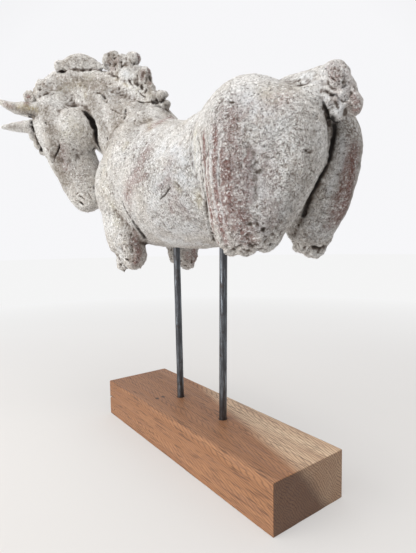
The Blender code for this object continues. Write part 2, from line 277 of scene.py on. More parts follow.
def add_foreleg(clay, side):
    """What is left of a foreleg: a stump that leans back from the shoulder, torn off at its end."""
    add_roll(clay, [
        (-34, 11 * side, 22, 5, 7),
        (-32.5, 13.2 * side, 12, 6.4, 8.8),
        (-30.5, 13.2 * side, 5, 5.8, 8.6),
        (-29, 12 * side, -2, 5.4, 8),
        (-28.4, 12 * side, -5.6, 4.9, 7),
    ], up=(1, 0, 0))
    if side < 0:
        add_chunk(clay, (-32.8, -13.4, -6.4), (2.6, 3, 3.7), (0, 10, 0), seed=21)
        add_chunk(clay, (-24.8, -12.6, -4.8), (3.6, 3.8, 2.8), seed=22)
        add_chunk(clay, (-25.4, -15.2, 1), (3, 2.6, 5), seed=23)
    else:
        add_chunk(clay, (-26, 12, -6.2), (4.8, 4, 3.2), seed=24)
        add_chunk(clay, (-32.4, 11.6, -4.6), (3.4, 3.6, 3), seed=25)


def add_neck(clay):
    add_roll(clay, [
        (-20, 0, 33, 11, 13),
        (-30, -1, 38.5, 14, 16.8),
        (-39, -4.5, 45, 12.5, 14.5),
        (-46.8, -8.4, 51, 9.8, 13),
        (-54.6, -13.3, 59, 7, 13),
        (-62, -20, 63.4, 5.5, 11),
        (-66.5, -27.3, 64.8, 5, 8.6),
        (-70, -32.5, 62.5, 5, 5),
    ], sides=28)
    add_roll(clay, [
        (-69, -31, 66, 3, 3),
        (-64, -25, 70.5, 3, 3),
        (-58.5, -18.5, 71.5, 3, 3),
        (-52, -12, 70.5, 3.5, 3.5),
        (-46, -7.5, 66.5, 4, 4.5),
        (-39, -3.6, 62, 4, 5),
        (-31, -1, 55.5, 4, 4),
        (-22, 0, 50.5, 4, 3.5),
    ])


# The head's own directions run down the face, out of the forehead and to its right
POLL = Vector((-67.2, -33.0, 59.3))
MUZZLE = Vector((-54.2, -18.9, 18.7))
HEAD_RIGHT = Vector((-0.93, 0.31, 0.19))


def head_axes():
    down = (MUZZLE - POLL).normalized()
    right = (HEAD_RIGHT - down * HEAD_RIGHT.dot(down)).normalized()
    return down, right.cross(down), right


def head_matrix():
    return Matrix(head_axes()).transposed()


def head_point(down, front, right=0.0):
    """A point of the head, from the poll, as a point of the figure."""
    return POLL + head_matrix() @ Vector((down, front, right))


def add_head_ball(clay, centre, radii):
    matrix = Matrix.LocRotScale(
        figure_point(head_point(*centre)), head_matrix().to_quaternion(), Vector(radii) * UNIT)
    bmesh.ops.create_icosphere(clay, subdivisions=3, radius=1, matrix=matrix)


def add_head(clay):
    stations = [
        (-2, -4, 5, 5),
        (3, -4, 6.8, 8.5),
        (9, -3.6, 7.6, 10),
        (16, -3.3, 7.4, 10.4),
        (24, -2.8, 6.4, 9.8),
        (30, -2.9, 5.8, 9.4),
        (36, -2.5, 5.4, 9),
        (42, -1.8, 5, 7.6),
        (45.6, -1.6, 4.6, 6),
        (47.6, -1.6, 3.4, 3.6),
    ]
    front = head_axes()[1]
    add_roll(clay, [(*head_point(s[0], s[1]), s[2], s[3]) for s in stations], up=front)
    add_head_ball(clay, (16.6, -9.4, -5.6), (9.4, 9.6, 6.8))
    add_head_ball(clay, (15.6, -8.6, 5.2), (9, 9.3, 6.8))
    for side in (-1, 1):
        add_head_ball(clay, (15.5, -2.5, 3.8 * side), (12, 7.4, 6.4))
    add_ellipsoid(clay, (-62.6, -26, 60.6), (4.8, 5, 6))


def add_ears(clay):
    """Two pricked ears, the horse's left one first."""
    left_ear = [
        (2.6, 0.6, -3.5, 2.4, 3.4),
        (0.2, 5, -3.2, 2.8, 3),
        (-2.7, 9.4, -2.6, 2.3, 2.2),
        (-6, 12.4, -2, 1.5, 1.3),
        (-8.5, 14.2, -1.5, 0.6, 0.5),
    ]
    right_ear = [
        (5.1, 1, 7.3, 1.6, 3.2),
        (2.2, 7.7, 7.6, 2, 3),
        (-0.2, 13.1, 8.1, 1.6, 2),
        (-2.5, 18.4, 8.6, 0.6, 0.8),
    ]
    for ear in (left_ear, right_ear):
        add_roll(clay, [(*head_point(*row[:3]), *row[3:]) for row in ear])


def add_mane(clay):
    """Torn lumps of clay pressed along the crest of the neck, and the forelock."""
    add_roll(clay, [
        (-65.8, -26.6, 77.2, 1.4, 1.7),
        (-64.6, -25.3, 77.2, 2.1, 2.3),
        (-63.3, -23.8, 77.1, 1.9, 2.2),
        (-61, -21.2, 77.6, 2.3, 3.4),
        (-58.5, -18.6, 77.8, 2.4, 3.9),
        (-55.5, -15.5, 76.9, 2.3, 3.2),
        (-53, -13, 75.7, 1.9, 2.2),
        (-51.4, -11.5, 74.9, 0.9, 1),
    ], steps=3)
    lumps = [
        ((-58.5, -18.6, 73.6), (7, 2.2, 2.4), (0, 2, 47)),
        ((-65.5, -27, 72.4), (3.6, 2.4, 2.2), (0, -25, 50)),
        ((-69, -31, 68.6), (2.8, 2.4, 3.4), (0, -25, 50)),
        ((-72.4, -35.6, 64.3), (2.6, 2.4, 3.2), (0, -25, 55)),
        ((-47.4, -8.5, 77), (4.6, 3.2, 4.2), (0, 8, 34)),
        ((-45.2, -7.2, 72.6), (5.6, 3, 3.2), (0, 8, 34)),
        ((-43, -5.8, 74.6), (4.6, 2.8, 4.2), (0, 8, 30)),
        ((-42, -5, 70), (5.4, 3.6, 4.6), (0, 8, 30)),
        ((-38.8, -3.6, 76.1), (3.9, 2.8, 3.7), (0, 6, 22)),
        ((-38.4, -3.4, 69.6), (7.2, 3.6, 4.8), (0, 25, 22)),
        ((-33, -1.6, 67.6), (2.8, 2.6, 4.4), (0, 10, 10)),
        ((-31.2, -0.9, 67.2), (1, 2.2, 3.9), (0, 10, 10)),
        ((-31.6, -1, 63.8), (3, 2.6, 3.6), (0, 0, 10)),
        ((-30, -0.8, 58.9), (7.4, 3.2, 3.8), (0, 24, 6)),
        ((-22.5, 0, 58.1), (2.6, 2.5, 2.3), (0, 0, 0)),
        ((-21.8, 0, 54.6), (2.8, 2.6, 1.9), (0, 0, 0)),
        ((-29.6, -1, 54.2), (3.4, 2.8, 2), (0, 10, 0)),
    ]
    for seed, (centre, radii, turn) in enumerate(lumps):
        add_chunk(clay, centre, radii, turn, seed=seed)
    forelock = [
        ((3.4, 6.6, 4.6), (2.6, 2.6, 2.4)),
        ((8.2, 7.2, 3.6), (2.6, 2.6, 2.4)),
        ((12.8, 7, 2.4), (2.8, 2.3, 2.2)),
        ((16.8, 7, 1), (1.9, 1.7, 1.8)),
    ]
    for centre, radii in forelock:
        add_head_ball(clay, centre, radii)


def add_tail(clay):
    """A tail rolled up into a coil, with folds of clay bunched under it."""
    add_roll(clay, [
        (36, 0, 40.4, 4, 4),
        (42, 0, 41.3, 3.9, 3.4),
        (49, 0, 40.9, 3.8, 3.4),
        (54, -0.4, 40.3, 3.8, 3.6),
        (57, -0.8, 38.6, 3.5, 3.6),
        (57.8, -1, 36, 3.4, 3.4),
    ], up=(0, 1, 0))
    folds = [
        ((56.3, -2.5, 34.4), (2.9, 2.9, 4.3)),
        ((60.9, 0.6, 34), (2.5, 2.9, 3.7)),
        ((60, 0, 37.2), (2.4, 2.6, 2.8)),
        ((58.8, -1.6, 31.8), (2, 2.2, 2.4)),
        ((58.6, -1.4, 35.8), (2.8, 2.8, 3.4)),
    ]
    add_ellipsoid(clay, (57.3, -1.6, 39.9), (4.2, 3.6, 3.8))
    for side in (-1, 1):
        add_ellipsoid(clay, (53.2, 5.4 * side, 36.2), (3, 2.6, 3))
    for seed, (centre, radii) in enumerate(folds):
        add_chunk(clay, centre, radii, cuts=5, seed=41 + seed)


def clay_skin():
    """The whole horse as one closed skin: soft muscles first, then the crisper masses."""
    muscles = bmesh.new()
    add_trunk(muscles)
    for side in (-1, 1):
        add_haunch(muscles, side)
        add_shoulder(muscles, side)
    add_neck(muscles)
    body = fused(muscles, MUSCLE_VOXEL, MUSCLE_SOFTENING)
    form = bmesh.new()
    form.from_mesh(body)
    for side in (-1, 1):
        add_thigh_slab(form, side)
        add_foreleg(form, side)
    add_head(form)
    add_ears(form)
    add_mane(form)
    add_tail(form)
    return fused(form, CLAY_VOXEL, CLAY_SOFTENING)


# Tool work on the leather-hard clay. Marks are given by where the photograph's camera sees them.

def sight_line(u, v):
    """The way from the photograph's camera through one of its pixels."""
    ahead = CAMERA_UP.cross(CAMERA_RIGHT)
    sideways = CAMERA_RIGHT * ((u - PHOTO_WIDTH / 2) / FOCAL_PIXELS)
    return (ahead + sideways - CAMERA_UP * ((v - PHOTO_HEIGHT / 2) / FOCAL_PIXELS)).normalized()


def mesh_arrays(mesh):
    """Places and normals of a mesh's points."""
    places = np.empty(len(mesh.vertices) * 3, np.float32)
    mesh.vertices.foreach_get("co", places)
    normals = np.empty(len(mesh.vertices) * 3, np.float32)
    mesh.vertex_normals.foreach_get("vector", normals)
    return places.reshape(-1, 3), normals.reshape(-1, 3)


def surface_tree(mesh):
    form = bmesh.new()
    form.from_mesh(mesh)
    tree = BVHTree.FromBMesh(form)
    form.free()
    return tree


def sighted(tree, pixels):
    """The points of the clay that the camera sees at these pixels, and the way the clay faces there."""
    path = []
    facings = []
    for u, v in pixels:
        place, facing, _, _ = tree.ray_cast(CAMERA_PLACE, sight_line(u, v))
        if place is not None:
            path.append(place)
            facings.append(facing)
    return path, facings


def other_body_side(place, slip):
    """Its match on the horse's right side, moved a little so that the two aren't copies."""
    return Vector((place.x + slip[0], -place.y, place.z + slip[1]))


def other_head_side(place):
    local = head_matrix().transposed() @ ((place - figure_point(POLL)) / UNIT)
    return figure_point(head_point(local.x, local.y, -local.z))


def strokes(tree, marks, seed):
    """Each mark as its path, facing and figures; most are made again on the side that isn't seen."""
    chance = np.random.default_rng(seed)
    found = []
    for where, figures, pixels in marks:
        path, facings = sighted(tree, pixels)
        if not path:
            continue
        found.append((path, sum(facings, Vector()), figures))
        if where == "once":
            continue
        slip = chance.uniform(-0.006, 0.006, 2)
        again = []
        facing = Vector()
        for place in path:
            aim = other_head_side(place) if where == "head" else other_body_side(place, slip)
            near, normal, _, gap = tree.find_nearest(aim)
            if gap < 0.012:
                again.append(near)
                facing += normal
        if again:
            found.append((again, facing, figures))
    return found


def reach(places, path, margin, longest):
    """The points within a margin of a path, and how far each is from it; a step over the longest is a jump."""
    line = np.array([tuple(place) for place in path], np.float32)
    low = line.min(0) - margin
    high = line.max(0) + margin
    near = np.nonzero(np.all((places > low) & (places < high), axis=1))[0]
    gap = np.full(len(near), 1e3, np.float32)
    if len(line) == 1:
        line = np.vstack((line, line + 1e-6))
    for start, end in zip(line, line[1:]):
        along = end - start
        if along @ along > longest**2:
            continue
        t = np.clip(((places[near] - start) @ along) / max(along @ along, 1e-12), 0, 1)
        gap = np.minimum(gap, np.linalg.norm(places[near] - start - t[:, None] * along, axis=1))
    return near, gap


def press(places, normals, stroke):
    """Cuts a groove along a stroke, or raises a ridge where the depth is negative, with lips."""
    path, facing, (width, depth, lip) = stroke
    near, gap = reach(places, path, 3.2 * width * MM, 0.03)
    facing = np.array(facing.normalized(), np.float32)
    same_side = np.clip((normals[near] @ facing) * 3 + 0.6, 0, 1)
    off = gap / (width * MM)
    push = lip * np.exp(-((off - 1.7) / 0.6)**2) - depth * np.exp(-off**2)
    # The tool goes in and comes out gently, and drags unevenly
    push *= 0.8 + 0.5 * cloud(places[near], 0.003, 51)
    if (path[0] - path[-1]).length > 4 * width * MM:
        ends = [np.linalg.norm(places[near] - np.array(end, np.float32), axis=1) for end in (path[0], path[-1])]
        push *= np.clip(np.minimum(*ends) / (3 * width * MM), 0.2, 1)
    places[near] += normals[near] * (push * MM * same_side)[:, None]


def cloud(places, size, seed):
    """Smooth noise from -1 to 1, whose lumps are about one size across; a size may differ by axis."""
    cells = np.random.default_rng(seed).uniform(-1, 1, (32, 32, 32)).astype(np.float32)
    spot = places / np.asarray(size, np.float32)
    base = np.floor(spot).astype(int)
    part = spot - base
    part = part * part * (3 - 2 * part)
    total = np.zeros(len(places), np.float32)
    for corner in np.ndindex(2, 2, 2):
        weight = np.prod(np.where(np.array(corner) == 1, part, 1 - part), axis=1)
        total += weight * cells[tuple(((base + corner) % 32).T)]
    return total


def joined_points(mesh):
    pairs = np.empty(len(mesh.edges) * 2, np.int32)
    mesh.edges.foreach_get("vertices", pairs)
    return pairs.reshape(-1, 2)


def averaged(values, pairs, passes):
    """Values smoothed over the surface, each pass taking in the points next to it."""
    count = len(values)
    share = np.bincount(pairs.ravel(), minlength=count).astype(np.float32)
    share[share == 0] = 1
    for _ in range(passes):
        total = np.empty_like(values)
        for axis in range(values.shape[1]):
            column = values[:, axis]
            total[:, axis] = (
                np.bincount(pairs[:, 0], column[pairs[:, 1]], count)
                + np.bincount(pairs[:, 1], column[pairs[:, 0]], count))
        values = 0.5 * values + 0.5 * total / share[:, None]
    return values


# Each mark: the side it is repeated on, (width, depth, lip) in mm, and its pixels
CUTS = [
    # Left eye: the closed lid's crease, and the lid standing proud of it
    ("head", (4.8, -3.4, 0), [(51.5, 146), (52, 152), (51.5, 156)]),
    ("head", (1.4, 3.6, 0.4), [(59.5, 144), (59, 148), (57.2, 152.2), (54.7, 156.3), (54.3, 161)]),
    ("head", (1.3, 0.8, 0.2), [(54, 139.3), (57.6, 140.8), (59.5, 144)]),
    ("head", (4, 0.7, 0), [(62, 152), (60, 162)]),
    # Cheek: its edge is undercut by a deep crevice
    ("once", (1.4, 2.4, 0.2), [(65, 107), (75, 107.4), (84, 111)]),
    ("once", (2.6, 8, 0), [(84, 111), (91, 119), (95.5, 130), (97, 141)]),
    # Nostril's swirl, the lip's fold and the mouth
    ("head", (1.8, 2.2, 0.3), [(80, 202), (83.8, 205)]),
    ("head", (1.3, 1.3, 0.3), [(77, 196), (81.3, 196.4), (84.6, 199.5), (85.4, 203.6)]),
    ("head", (1.3, 1.0, 0.3), [(74.6, 197), (79, 191.6), (87.9, 193), (92, 199.5), (91.2, 205)]),
    ("head", (1.6, 2.6, 0.2), [(94.5, 185.4), (94.1, 191.5)]),
    ("head", (1.2, 1.3, 0.2), [(88, 187.4), (93.7, 187.6)]),
    ("head", (1.2, 1.3, 0.2), [(89.5, 190.6), (93.7, 190.9)]),
    ("head", (1.4, 1.6, 0.3), [(78, 208.6), (87, 209.2), (96, 207)]),
    # Left ear's hollow, and the dark between the ears and behind the forelock
    ("once", (2.2, 4.2, 0), [(18, 114.5), (24, 115.6), (31, 116.6)]),
    ("once", (2.4, 5, 0), [(31, 122), (34, 129), (35.5, 134)]),
    ("once", (1.6, 3.2, 0), [(35.7, 136), (38, 143), (41.5, 150), (42.3, 155)]),
    ("once", (1.2, 0.8, 0.2), [(28, 132), (33, 136)]),
    ("once", (1.2, 0.8, 0.2), [(31, 139), (36, 143)]),
    # Forehead pits
    ("head", (1.4, 1.8, 0.1), [(45.4, 122.5), (46, 124.5)]),
    ("head", (1.2, 1.4, 0.1), [(45.2, 131.5)]),
    # Cuts across the neck
    ("body", (2.0, 1.7, 0.4), [(93.3, 93.4), (99, 93), (103, 94), (105.3, 98.3), (107, 105)]),
    ("once", (1.2, 0.8, 0.2), [(48, 95.8), (56.4, 92.5)]),
    ("once", (1.2, 0.9, 0.2), [(66.3, 103.3), (73, 99)]),
    ("body", (1.5, 1.5, 0.3), [(110.3, 108.7), (116.3, 111.3), (120.6, 113.9), (121.9, 108.7)]),
    ("body", (1.4, 1.2, 0.3), [(125.8, 108.7), (125.8, 115.6), (123.2, 120.8)]),
    ("body", (1.4, 1.3, 0.2), [(135.2, 119), (133.9, 125)]),
    ("body", (1.5, 1.8, 0.1), [(107.4, 137.6), (107.2, 140)]),
    ("body", (2.2, -0.5, 0), [(113, 124), (108.5, 136)]),
    ("body", (1.2, 0.6, 0.1), [(127.5, 144), (125.8, 148.3), (123.2, 151.8)]),
    ("body", (3.2, -0.7, 0), [(139, 120), (128, 128), (117, 136), (109, 146)]),
    # Shoulder, foreleg and belly
    ("body", (1.5, 3.0, 0.5), [(121.2, 199), (124.7, 208), (130.6, 218), (136.5, 226)]),
    ("body", (2.4, 5.0, 0), [(136.5, 226), (141.5, 233), (146, 240)]),
    ("body", (1.2, 0.7, 0.2), [(122.7, 231.8), (127.6, 232.8)]),
    ("once", (1.1, 1.5, 0.6), [(171, 186), (165.2, 194.3), (158.6, 200.4)]),
    ("once", (1.4, -0.5, 0), [(159, 201), (148.4, 202.2), (144.4, 199.2)]),
    ("once", (1.6, 0.9, 0.4), [(175, 184.6), (178, 185.6), (179, 189)]),
    ("once", (1.1, -0.4, 0), [(181, 180.4), (186, 172.5)]),
    ("body", (1.1, 0.8, 0.1), [(193.4, 221)]),
    ("body", (1.0, 0.5, 0.1), [(181, 202.5), (186, 203.8)]),
    # Hind quarter's slab: the raised edge, the gap behind it and the drawn grooves
    ("body", (1.8, 1.3, 1.1), [(199.5, 134), (201, 155), (203, 178), (206.5, 204), (211.5, 230), (215, 243)]),
    ("body", (1.3, 0.6, 0.2), [(208.7, 150), (208.7, 178), (210.5, 204), (214.5, 230)]),
    ("body", (1.6, 0.8, 0.3), [(217.7, 150), (218.5, 180), (220, 205), (223, 218)]),
    ("body", (1.8, 3.2, 0.6), [(215, 234), (217.5, 242), (219.7, 248)]),
    ("body", (1.3, 0.6, 0.1), [(241, 158), (240.8, 172)]),
    ("body", (1.6, 0.3, 0.2), [(241.2, 171), (247.8, 141.5), (253, 151.5), (258.2, 164.6)]),
    ("body", (1.2, 1.3, 0.3), [(229.5, 101.4), (233.5, 101.8)]),
    ("body", (1.2, 0.2, 0.1), [(264.8, 98), (264.6, 111)]),
    ("body", (1.3, 1.5, 0.2), [(287.6, 98.5), (287.8, 102.5)]),
    ("body", (1.8, 2.0, 0.3), [(306.5, 151.3), (310.5, 151.7)]),
    ("body", (1.1, -0.5, 0), [(276.5, 137), (268.7, 143.7)]),
    ("body", (1.1, -0.5, 0), [(285.7, 171), (296, 172.5)]),
    ("body", (1.3, 1.1, 0.3), [(309, 130.6), (320, 133)]),
    ("body", (1.6, 1.6, 0.6), [(222, 249), (228, 246), (236, 249), (243, 246)]),
    ("body", (1.4, 1.2, 0.5), [(246, 243), (253, 247), (262, 242)]),
    ("body", (1.4, 1.4, 0.5), [(119, 262), (124, 258), (131, 262), (140, 259)]),
    ("body", (1.4, 1.2, 0.4), [(127, 240), (133, 247), (131, 256)]),
    # Cleft between the thighs
    ("once", (2.4, 2.4, 0), [(336, 125), (334, 138), (330, 159), (321, 177.5), (312, 193.4)]),
    ("once", (2.0, 2.4, 0), [(312, 193.4), (304, 216.9), (294, 233)]),
    # Tail: filled where it grows out of the croup, a coil with its turns pressed down, and folds below it
    ("once", (3, -2.2, 0), [(293, 86), (297, 85), (303, 83.5), (311, 79.5)]),
    ("once", (2.2, -1.6, 0), [(298, 85.4), (304, 84)]),
    ("once", (2.6, -1.8, 0), [(310, 98.5), (315, 99.5), (318, 102)]),
    ("once", (1.2, 2.0, 0.9), [(327.5, 67), (328.5, 74), (332.5, 79), (339, 80.5)]),
    ("once", (1.2, 2.0, 0.9), [(331, 67), (332, 73), (336, 76.5), (341, 75.5)]),
    ("once", (1.2, 2.0, 0.9), [(334.5, 68), (336, 72.5), (339, 71)]),
    ("once", (1.3, 0.9, 0.3), [(320, 74), (326, 75.5), (328, 79), (328.5, 84), (331.5, 87.8), (336, 89.3), (341, 88.4)]),
    ("once", (1.3, 1.2, 0.2), [(341, 88.4), (344.5, 86.5), (347, 84)]),
    ("once", (1.2, 1.1, 0.3), [(322, 89.6), (325, 90), (328, 92.5), (331.5, 94.6)]),
    ("once", (1.5, 1.8, 0.2), [(331.5, 94.6), (336.5, 94.8)]),
    ("once", (1.3, 1.4, 0.3), [(333, 97), (336, 103), (339.5, 110), (341, 117)]),
    ("once", (1.2, 1.5, 0.5), [(337.5, 97), (343, 102), (347, 100), (350, 96), (352, 92.5), (350, 88)]),
    ("once", (1.3, 1.1, 0.2), [(351.5, 98), (350.5, 104), (352, 110), (353, 116)]),
    ("once", (1.4, 2.0, 0), [(322.5, 101), (325.8, 109), (329.5, 117)]),
    # Mane: hollows and cuts between the torn chunks
    ("once", (1.6, 1.4, 0.2), [(59.5, 71.7), (63, 71.5)]),
    ("once", (1.1, 0.6, 0.2), [(63, 60), (65, 62.5), (68, 60.5)]),
    ("once", (2.6, 1.6, 0.5), [(143, 72.5), (141.8, 78)]),
    ("once", (1.2, 1.4, 0.2), [(137.4, 75.3)]),
    ("once", (1.6, 1.3, 0.3), [(147.4, 70), (146.6, 77), (147.8, 85)]),
    ("once", (1.2, 1.2, 0.4), [(128.8, 79.9), (131.5, 84), (134.8, 88)]),
    ("once", (1.2, 1.1, 0.4), [(136.1, 89.8), (141, 94), (145.6, 97.5)]),
    ("once", (2.0, 1.2, 0.3), [(117.4, 73), (117.2, 80)]),
    ("once", (1.8, 1.0, 0.2), [(123, 83), (128, 85.5)]),
    ("once", (1.4, 0.8, 0.2), [(105, 85.5), (108.5, 88.2)]),
    ("once", (1.5, 1.3, 0.2), [(137, 101), (143, 102.7), (151.6, 101.8), (156.8, 104.4)]),
    ("once", (1.6, 1.8, 0.2), [(156.8, 101), (161, 101.4), (165.4, 100)]),
    ("once", (2.4, 1.4, 0.3), [(131.5, 65.5)]),
    ("once", (3.0, 1.6, 0.4), [(114.5, 64), (115.5, 69)]),
    ("once", (4, -1.8, 0), [(117, 61), (122, 61), (127, 61)]),
    ("once", (3, -2.4, 0), [(123, 65.5), (130, 65), (137, 64.5)]),
    ("once", (3, -2.2, 0), [(105, 66.5), (109, 68)]),
    ("once", (2, -1.6, 0), [(134, 53.5), (137, 55)]),
    ("once", (1.4, 1.2, 0.2), [(137, 94), (137.4, 98)]),
    ("once", (2.0, 2.0, 0.4), [(156, 103.5), (160, 102), (163.5, 100)]),
]


# Torn clay: the middle of each place in figure units, how far round it and how many mm deep
TEARS = [
    ((-29, -13, -6), 8, 3.0),
    ((-29, 12, -6), 8, 3.0),
    ((36.4, -13, 0), 8, 3.0),
    ((45, -12, 4), 6, 2.6),
    ((40, 10, 0), 8, 2.8),
    ((-46, -7.5, 77), 8, 2.1),
    ((-38.8, -3.6, 77), 6, 1.8),
    ((-31, -1, 65), 6, 1.8),
    ((-22.5, 0, 58), 5, 1.8),
    ((-69, -31, 68.6), 7, 2.4),
    ((-58, -18, 77), 6, 0.4),
    ((57.5, -1.6, 34), 6, 0.8),
]


def around(places, centre, size):
    """How much each point belongs to a place: 1 in its middle, 0 well outside it."""
    off = np.linalg.norm(places - np.array(figure_point(centre), np.float32), axis=1) / (size * UNIT)
    return np.exp(-off**4)


# Places that a thumb smoothed, where one mass runs into the next: middle and how far round it
SMOOTHED = [
    (head_point(16, 0.5, -9), 8),
    (head_point(27, -7, -8), 8),
    (head_point(16, 0.5, 9), 8),
    (head_point(27, -7, 8), 8),
    (Vector((-37, -14, 6)), 8),
    (Vector((-37, 14, 6)), 8),
    (Vector((41, -15, 7)), 7),
    (Vector((-59, -25, 61)), 8),
    (Vector((48, -6.5, 39)), 8),
    (Vector((48, 6.5, 39)), 8),
    (Vector((53.6, -4.8, 37.2)), 5),
    (Vector((53.6, 4.8, 37.2)), 5),
]


def tooled(mesh):
    """Presses the seen marks into the clay, then roughens, pits and scratches it all over."""
    places, _ = mesh_arrays(mesh)
    soft = averaged(places, joined_points(mesh), 60)
    share = np.max([around(places, centre, size) for centre, size in SMOOTHED], axis=0)
    places += (soft - places) * share[:, None]
    mesh.vertices.foreach_set("co", places.ravel())
    mesh.update()
    tree = surface_tree(mesh)
    places, normals = mesh_arrays(mesh)
    for stroke in strokes(tree, CUTS, 11):
        press(places, normals, stroke)
    swirl = places + 0.006 * np.stack([cloud(places, 0.030, 21 + k) for k in range(3)], axis=1)
    rough = (
        0.45 * cloud(places, 0.016, 31)
        + 0.30 * cloud(swirl, (0.012, 0.004, 0.004), 32)
        + 0.28 * cloud(swirl, (0.004, 0.004, 0.013), 33)
        + 0.20 * cloud(places, 0.0026, 34)
        + 0.30 * np.abs(cloud(swirl, 0.0042, 35)))
    torn = np.max([depth * around(places, centre, size) for centre, size, depth in TEARS], axis=0)
    rough += torn * (0.7 - 1.6 * np.abs(cloud(swirl, 0.0085, 36)) - 0.8 * np.abs(cloud(places, 0.0040, 37)))
    places += normals * (rough * MM)[:, None]
    finder = KDTree(len(places))
    for i, place in enumerate(places):
        finder.insert(place, i)
    finder.balance()
    chance = np.random.default_rng(5)
    for centre in chance.choice(len(places), 700, replace=False):
        radius = chance.uniform(0.8, 1.9) * MM
        for _, i, gap in finder.find_range(places[centre], 1.6 * radius):
            places[i] -= normals[i] * (0.38 * radius * math.exp(-(gap / radius)**2))
    for centre in chance.choice(len(places), 260, replace=False):
        heading = Vector(chance.normal(size=3)).cross(Vector(normals[centre])).normalized()
        start = Vector(places[centre])
        length = chance.uniform(5, 16) * MM
        path = [start + heading * (length * t) for t in (0, 0.5, 1)]
        path = [tree.find_nearest(place)[0] for place in path]
        press(places, normals, (path, Vector(normals[centre]), (0.9, chance.uniform(0.15, 0.45), 0.15)))
    mesh.vertices.foreach_set("co", places.ravel())
    mesh.update()


def painted(mesh):
    """Attributes that say where the oxide, the pale slip and the dirt lie, and where shade is painted into the
    hollows and the deepest gaps.
    """
    tree = surface_tree(mesh)
    places, normals = mesh_arrays(mesh)
    pairs = joined_points(mesh)
    fine = np.einsum("ij,ij->i", averaged(places, pairs, 4) - places, normals)
    broad = np.einsum("ij,ij->i", averaged(places, pairs, 40) - places, normals)
    # How concave each point is; the material darkens it as dirt and as painted shade
    write(mesh, "hollow_dirt_and_shade", np.clip(fine / (0.5 * MM), 0, 1) * 0.6 + np.clip(broad / (1.6 * MM), 0, 1) * 0.55)
    write(mesh, "raised", np.clip(-fine / (0.35 * MM), 0, 1))
    for name, marks in (("oxide", OXIDE), ("cream", CREAM), ("ochre", OCHRE),
                        ("chalk", CHALK), ("umber_and_shade", UMBER_AND_SHADE), ("crust", CRUST), ("gap_shade", GAP_SHADE)):
        amount = np.zeros(len(places), np.float32)
        for path, facing, (width, strength) in strokes(tree, marks, 12):
            near, gap = reach(places, path, 2.5 * width * MM, 0.09)
            amount[near] = np.maximum(amount[near], strength * np.exp(-(gap / (width * MM))**2))
        write(mesh, name, amount)


def write(mesh, name, amount):
    layer = mesh.attributes.new(name, "FLOAT", "POINT")
    layer.data.foreach_set("value", np.clip(amount, 0, 1).astype(np.float32))


# Each patch of colour: the side it is repeated on, (width in mm, strength), and its pixels
OXIDE = [
    ("body", (2.6, 1.0), [(203.7, 134), (204.8, 160), (206.8, 190), (211.5, 215), (217.5, 242)]),
    ("body", (3.0, 1.0), [(215.5, 128), (214.6, 150), (214.5, 172), (216, 190), (219.5, 214), (226, 243)]),
    ("body", (1.2, 0.9), [(208.6, 150), (208.6, 178), (212.5, 204), (219, 232)]),
    ("body", (2.6, 0.7), [(222.5, 150), (221.5, 176), (222.5, 200), (227, 228)]),
    ("body", (7, 0.5), [(230, 126), (233, 146), (236, 166), (238, 188)]),
    ("body", (5.5, 0.65), [(250, 154), (249, 168), (249, 184), (247, 200)]),
    ("body", (4, 0.9), [(226, 160), (228, 180), (229, 200), (232, 214)]),
    ("body", (7, 0.75), [(236, 204), (242, 216), (240, 230), (248, 238)]),
    ("body", (5, 0.55), [(232, 110), (240, 116), (233, 122)]),
    ("body", (9, 0.3), [(222, 118), (240, 102), (262, 112), (280, 100)]),
    ("body", (8, 0.25), [(262, 150), (268, 175), (262, 200), (276, 214)]),
    ("body", (7, 0.35), [(240, 215), (255, 228), (235, 232), (272, 222)]),
    ("once", (6, 1.0), [(354, 150), (353, 165), (350, 185), (346, 203), (339, 220)]),
    ("once", (2.4, 0.9), [(346, 160), (343, 180), (339, 200)]),
    ("once", (4, 0.6), [(338, 196), (334, 212), (328, 228)]),
    ("body", (8, 0.5), [(147, 152), (141, 163), (135, 176), (129, 190), (127, 198)]),
    ("body", (4, 0.45), [(146, 175), (135, 183)]),
    ("body", (3.4, 0.6), [(168.2, 178.4), (163, 187), (158, 188)]),
    ("body", (3, 0.5), [(171, 204), (172, 212)]),
    ("body", (5, 0.8), [(134, 240), (139, 252), (136, 262)]),
    ("body", (3, 0.6), [(135, 232), (137, 240)]),
    ("once", (5, 0.6), [(187, 254), (192, 262)]),
    ("once", (5, 0.5), [(150, 128), (160, 122), (172, 118)]),
    ("body", (7, 0.3), [(176, 150), (168, 168), (176, 200), (186, 214)]),
    ("once", (9, 0.28), [(335, 70), (346, 84), (340, 98), (352, 104)]),
    ("once", (4, 0.6), [(354, 92), (356, 100), (357, 110)]),
    ("once", (0.8, 0.8), [(327.5, 67), (328.5, 74), (332.5, 79), (339, 80.5)]),
    ("once", (0.8, 0.8), [(331, 67), (332, 73), (336, 76.5), (341, 75.5)]),
    ("once", (0.8, 0.7), [(334.5, 68), (336, 72.5), (339, 71)]),
    ("once", (0.8, 0.6), [(330, 63), (336, 63.5), (343, 66), (347, 72)]),
    ("once", (2.8, 0.9), [(143, 72.5), (142, 78)]),
    ("once", (2.0, 0.9), [(149.4, 70), (149.8, 84)]),
    ("once", (5, 0.4), [(110, 62), (116, 60), (113, 68)]),
    ("once", (2.4, 0.8), [(138, 55), (139, 61)]),
    ("once", (3, 0.5), [(114.5, 64), (115.5, 69)]),
    ("once", (3, 0.8), [(28, 97), (27, 103)]),
    ("head", (5, 0.4), [(62, 147), (62, 158), (66, 168)]),
    ("head", (3, 0.5), [(5, 104), (12, 107)]),
]
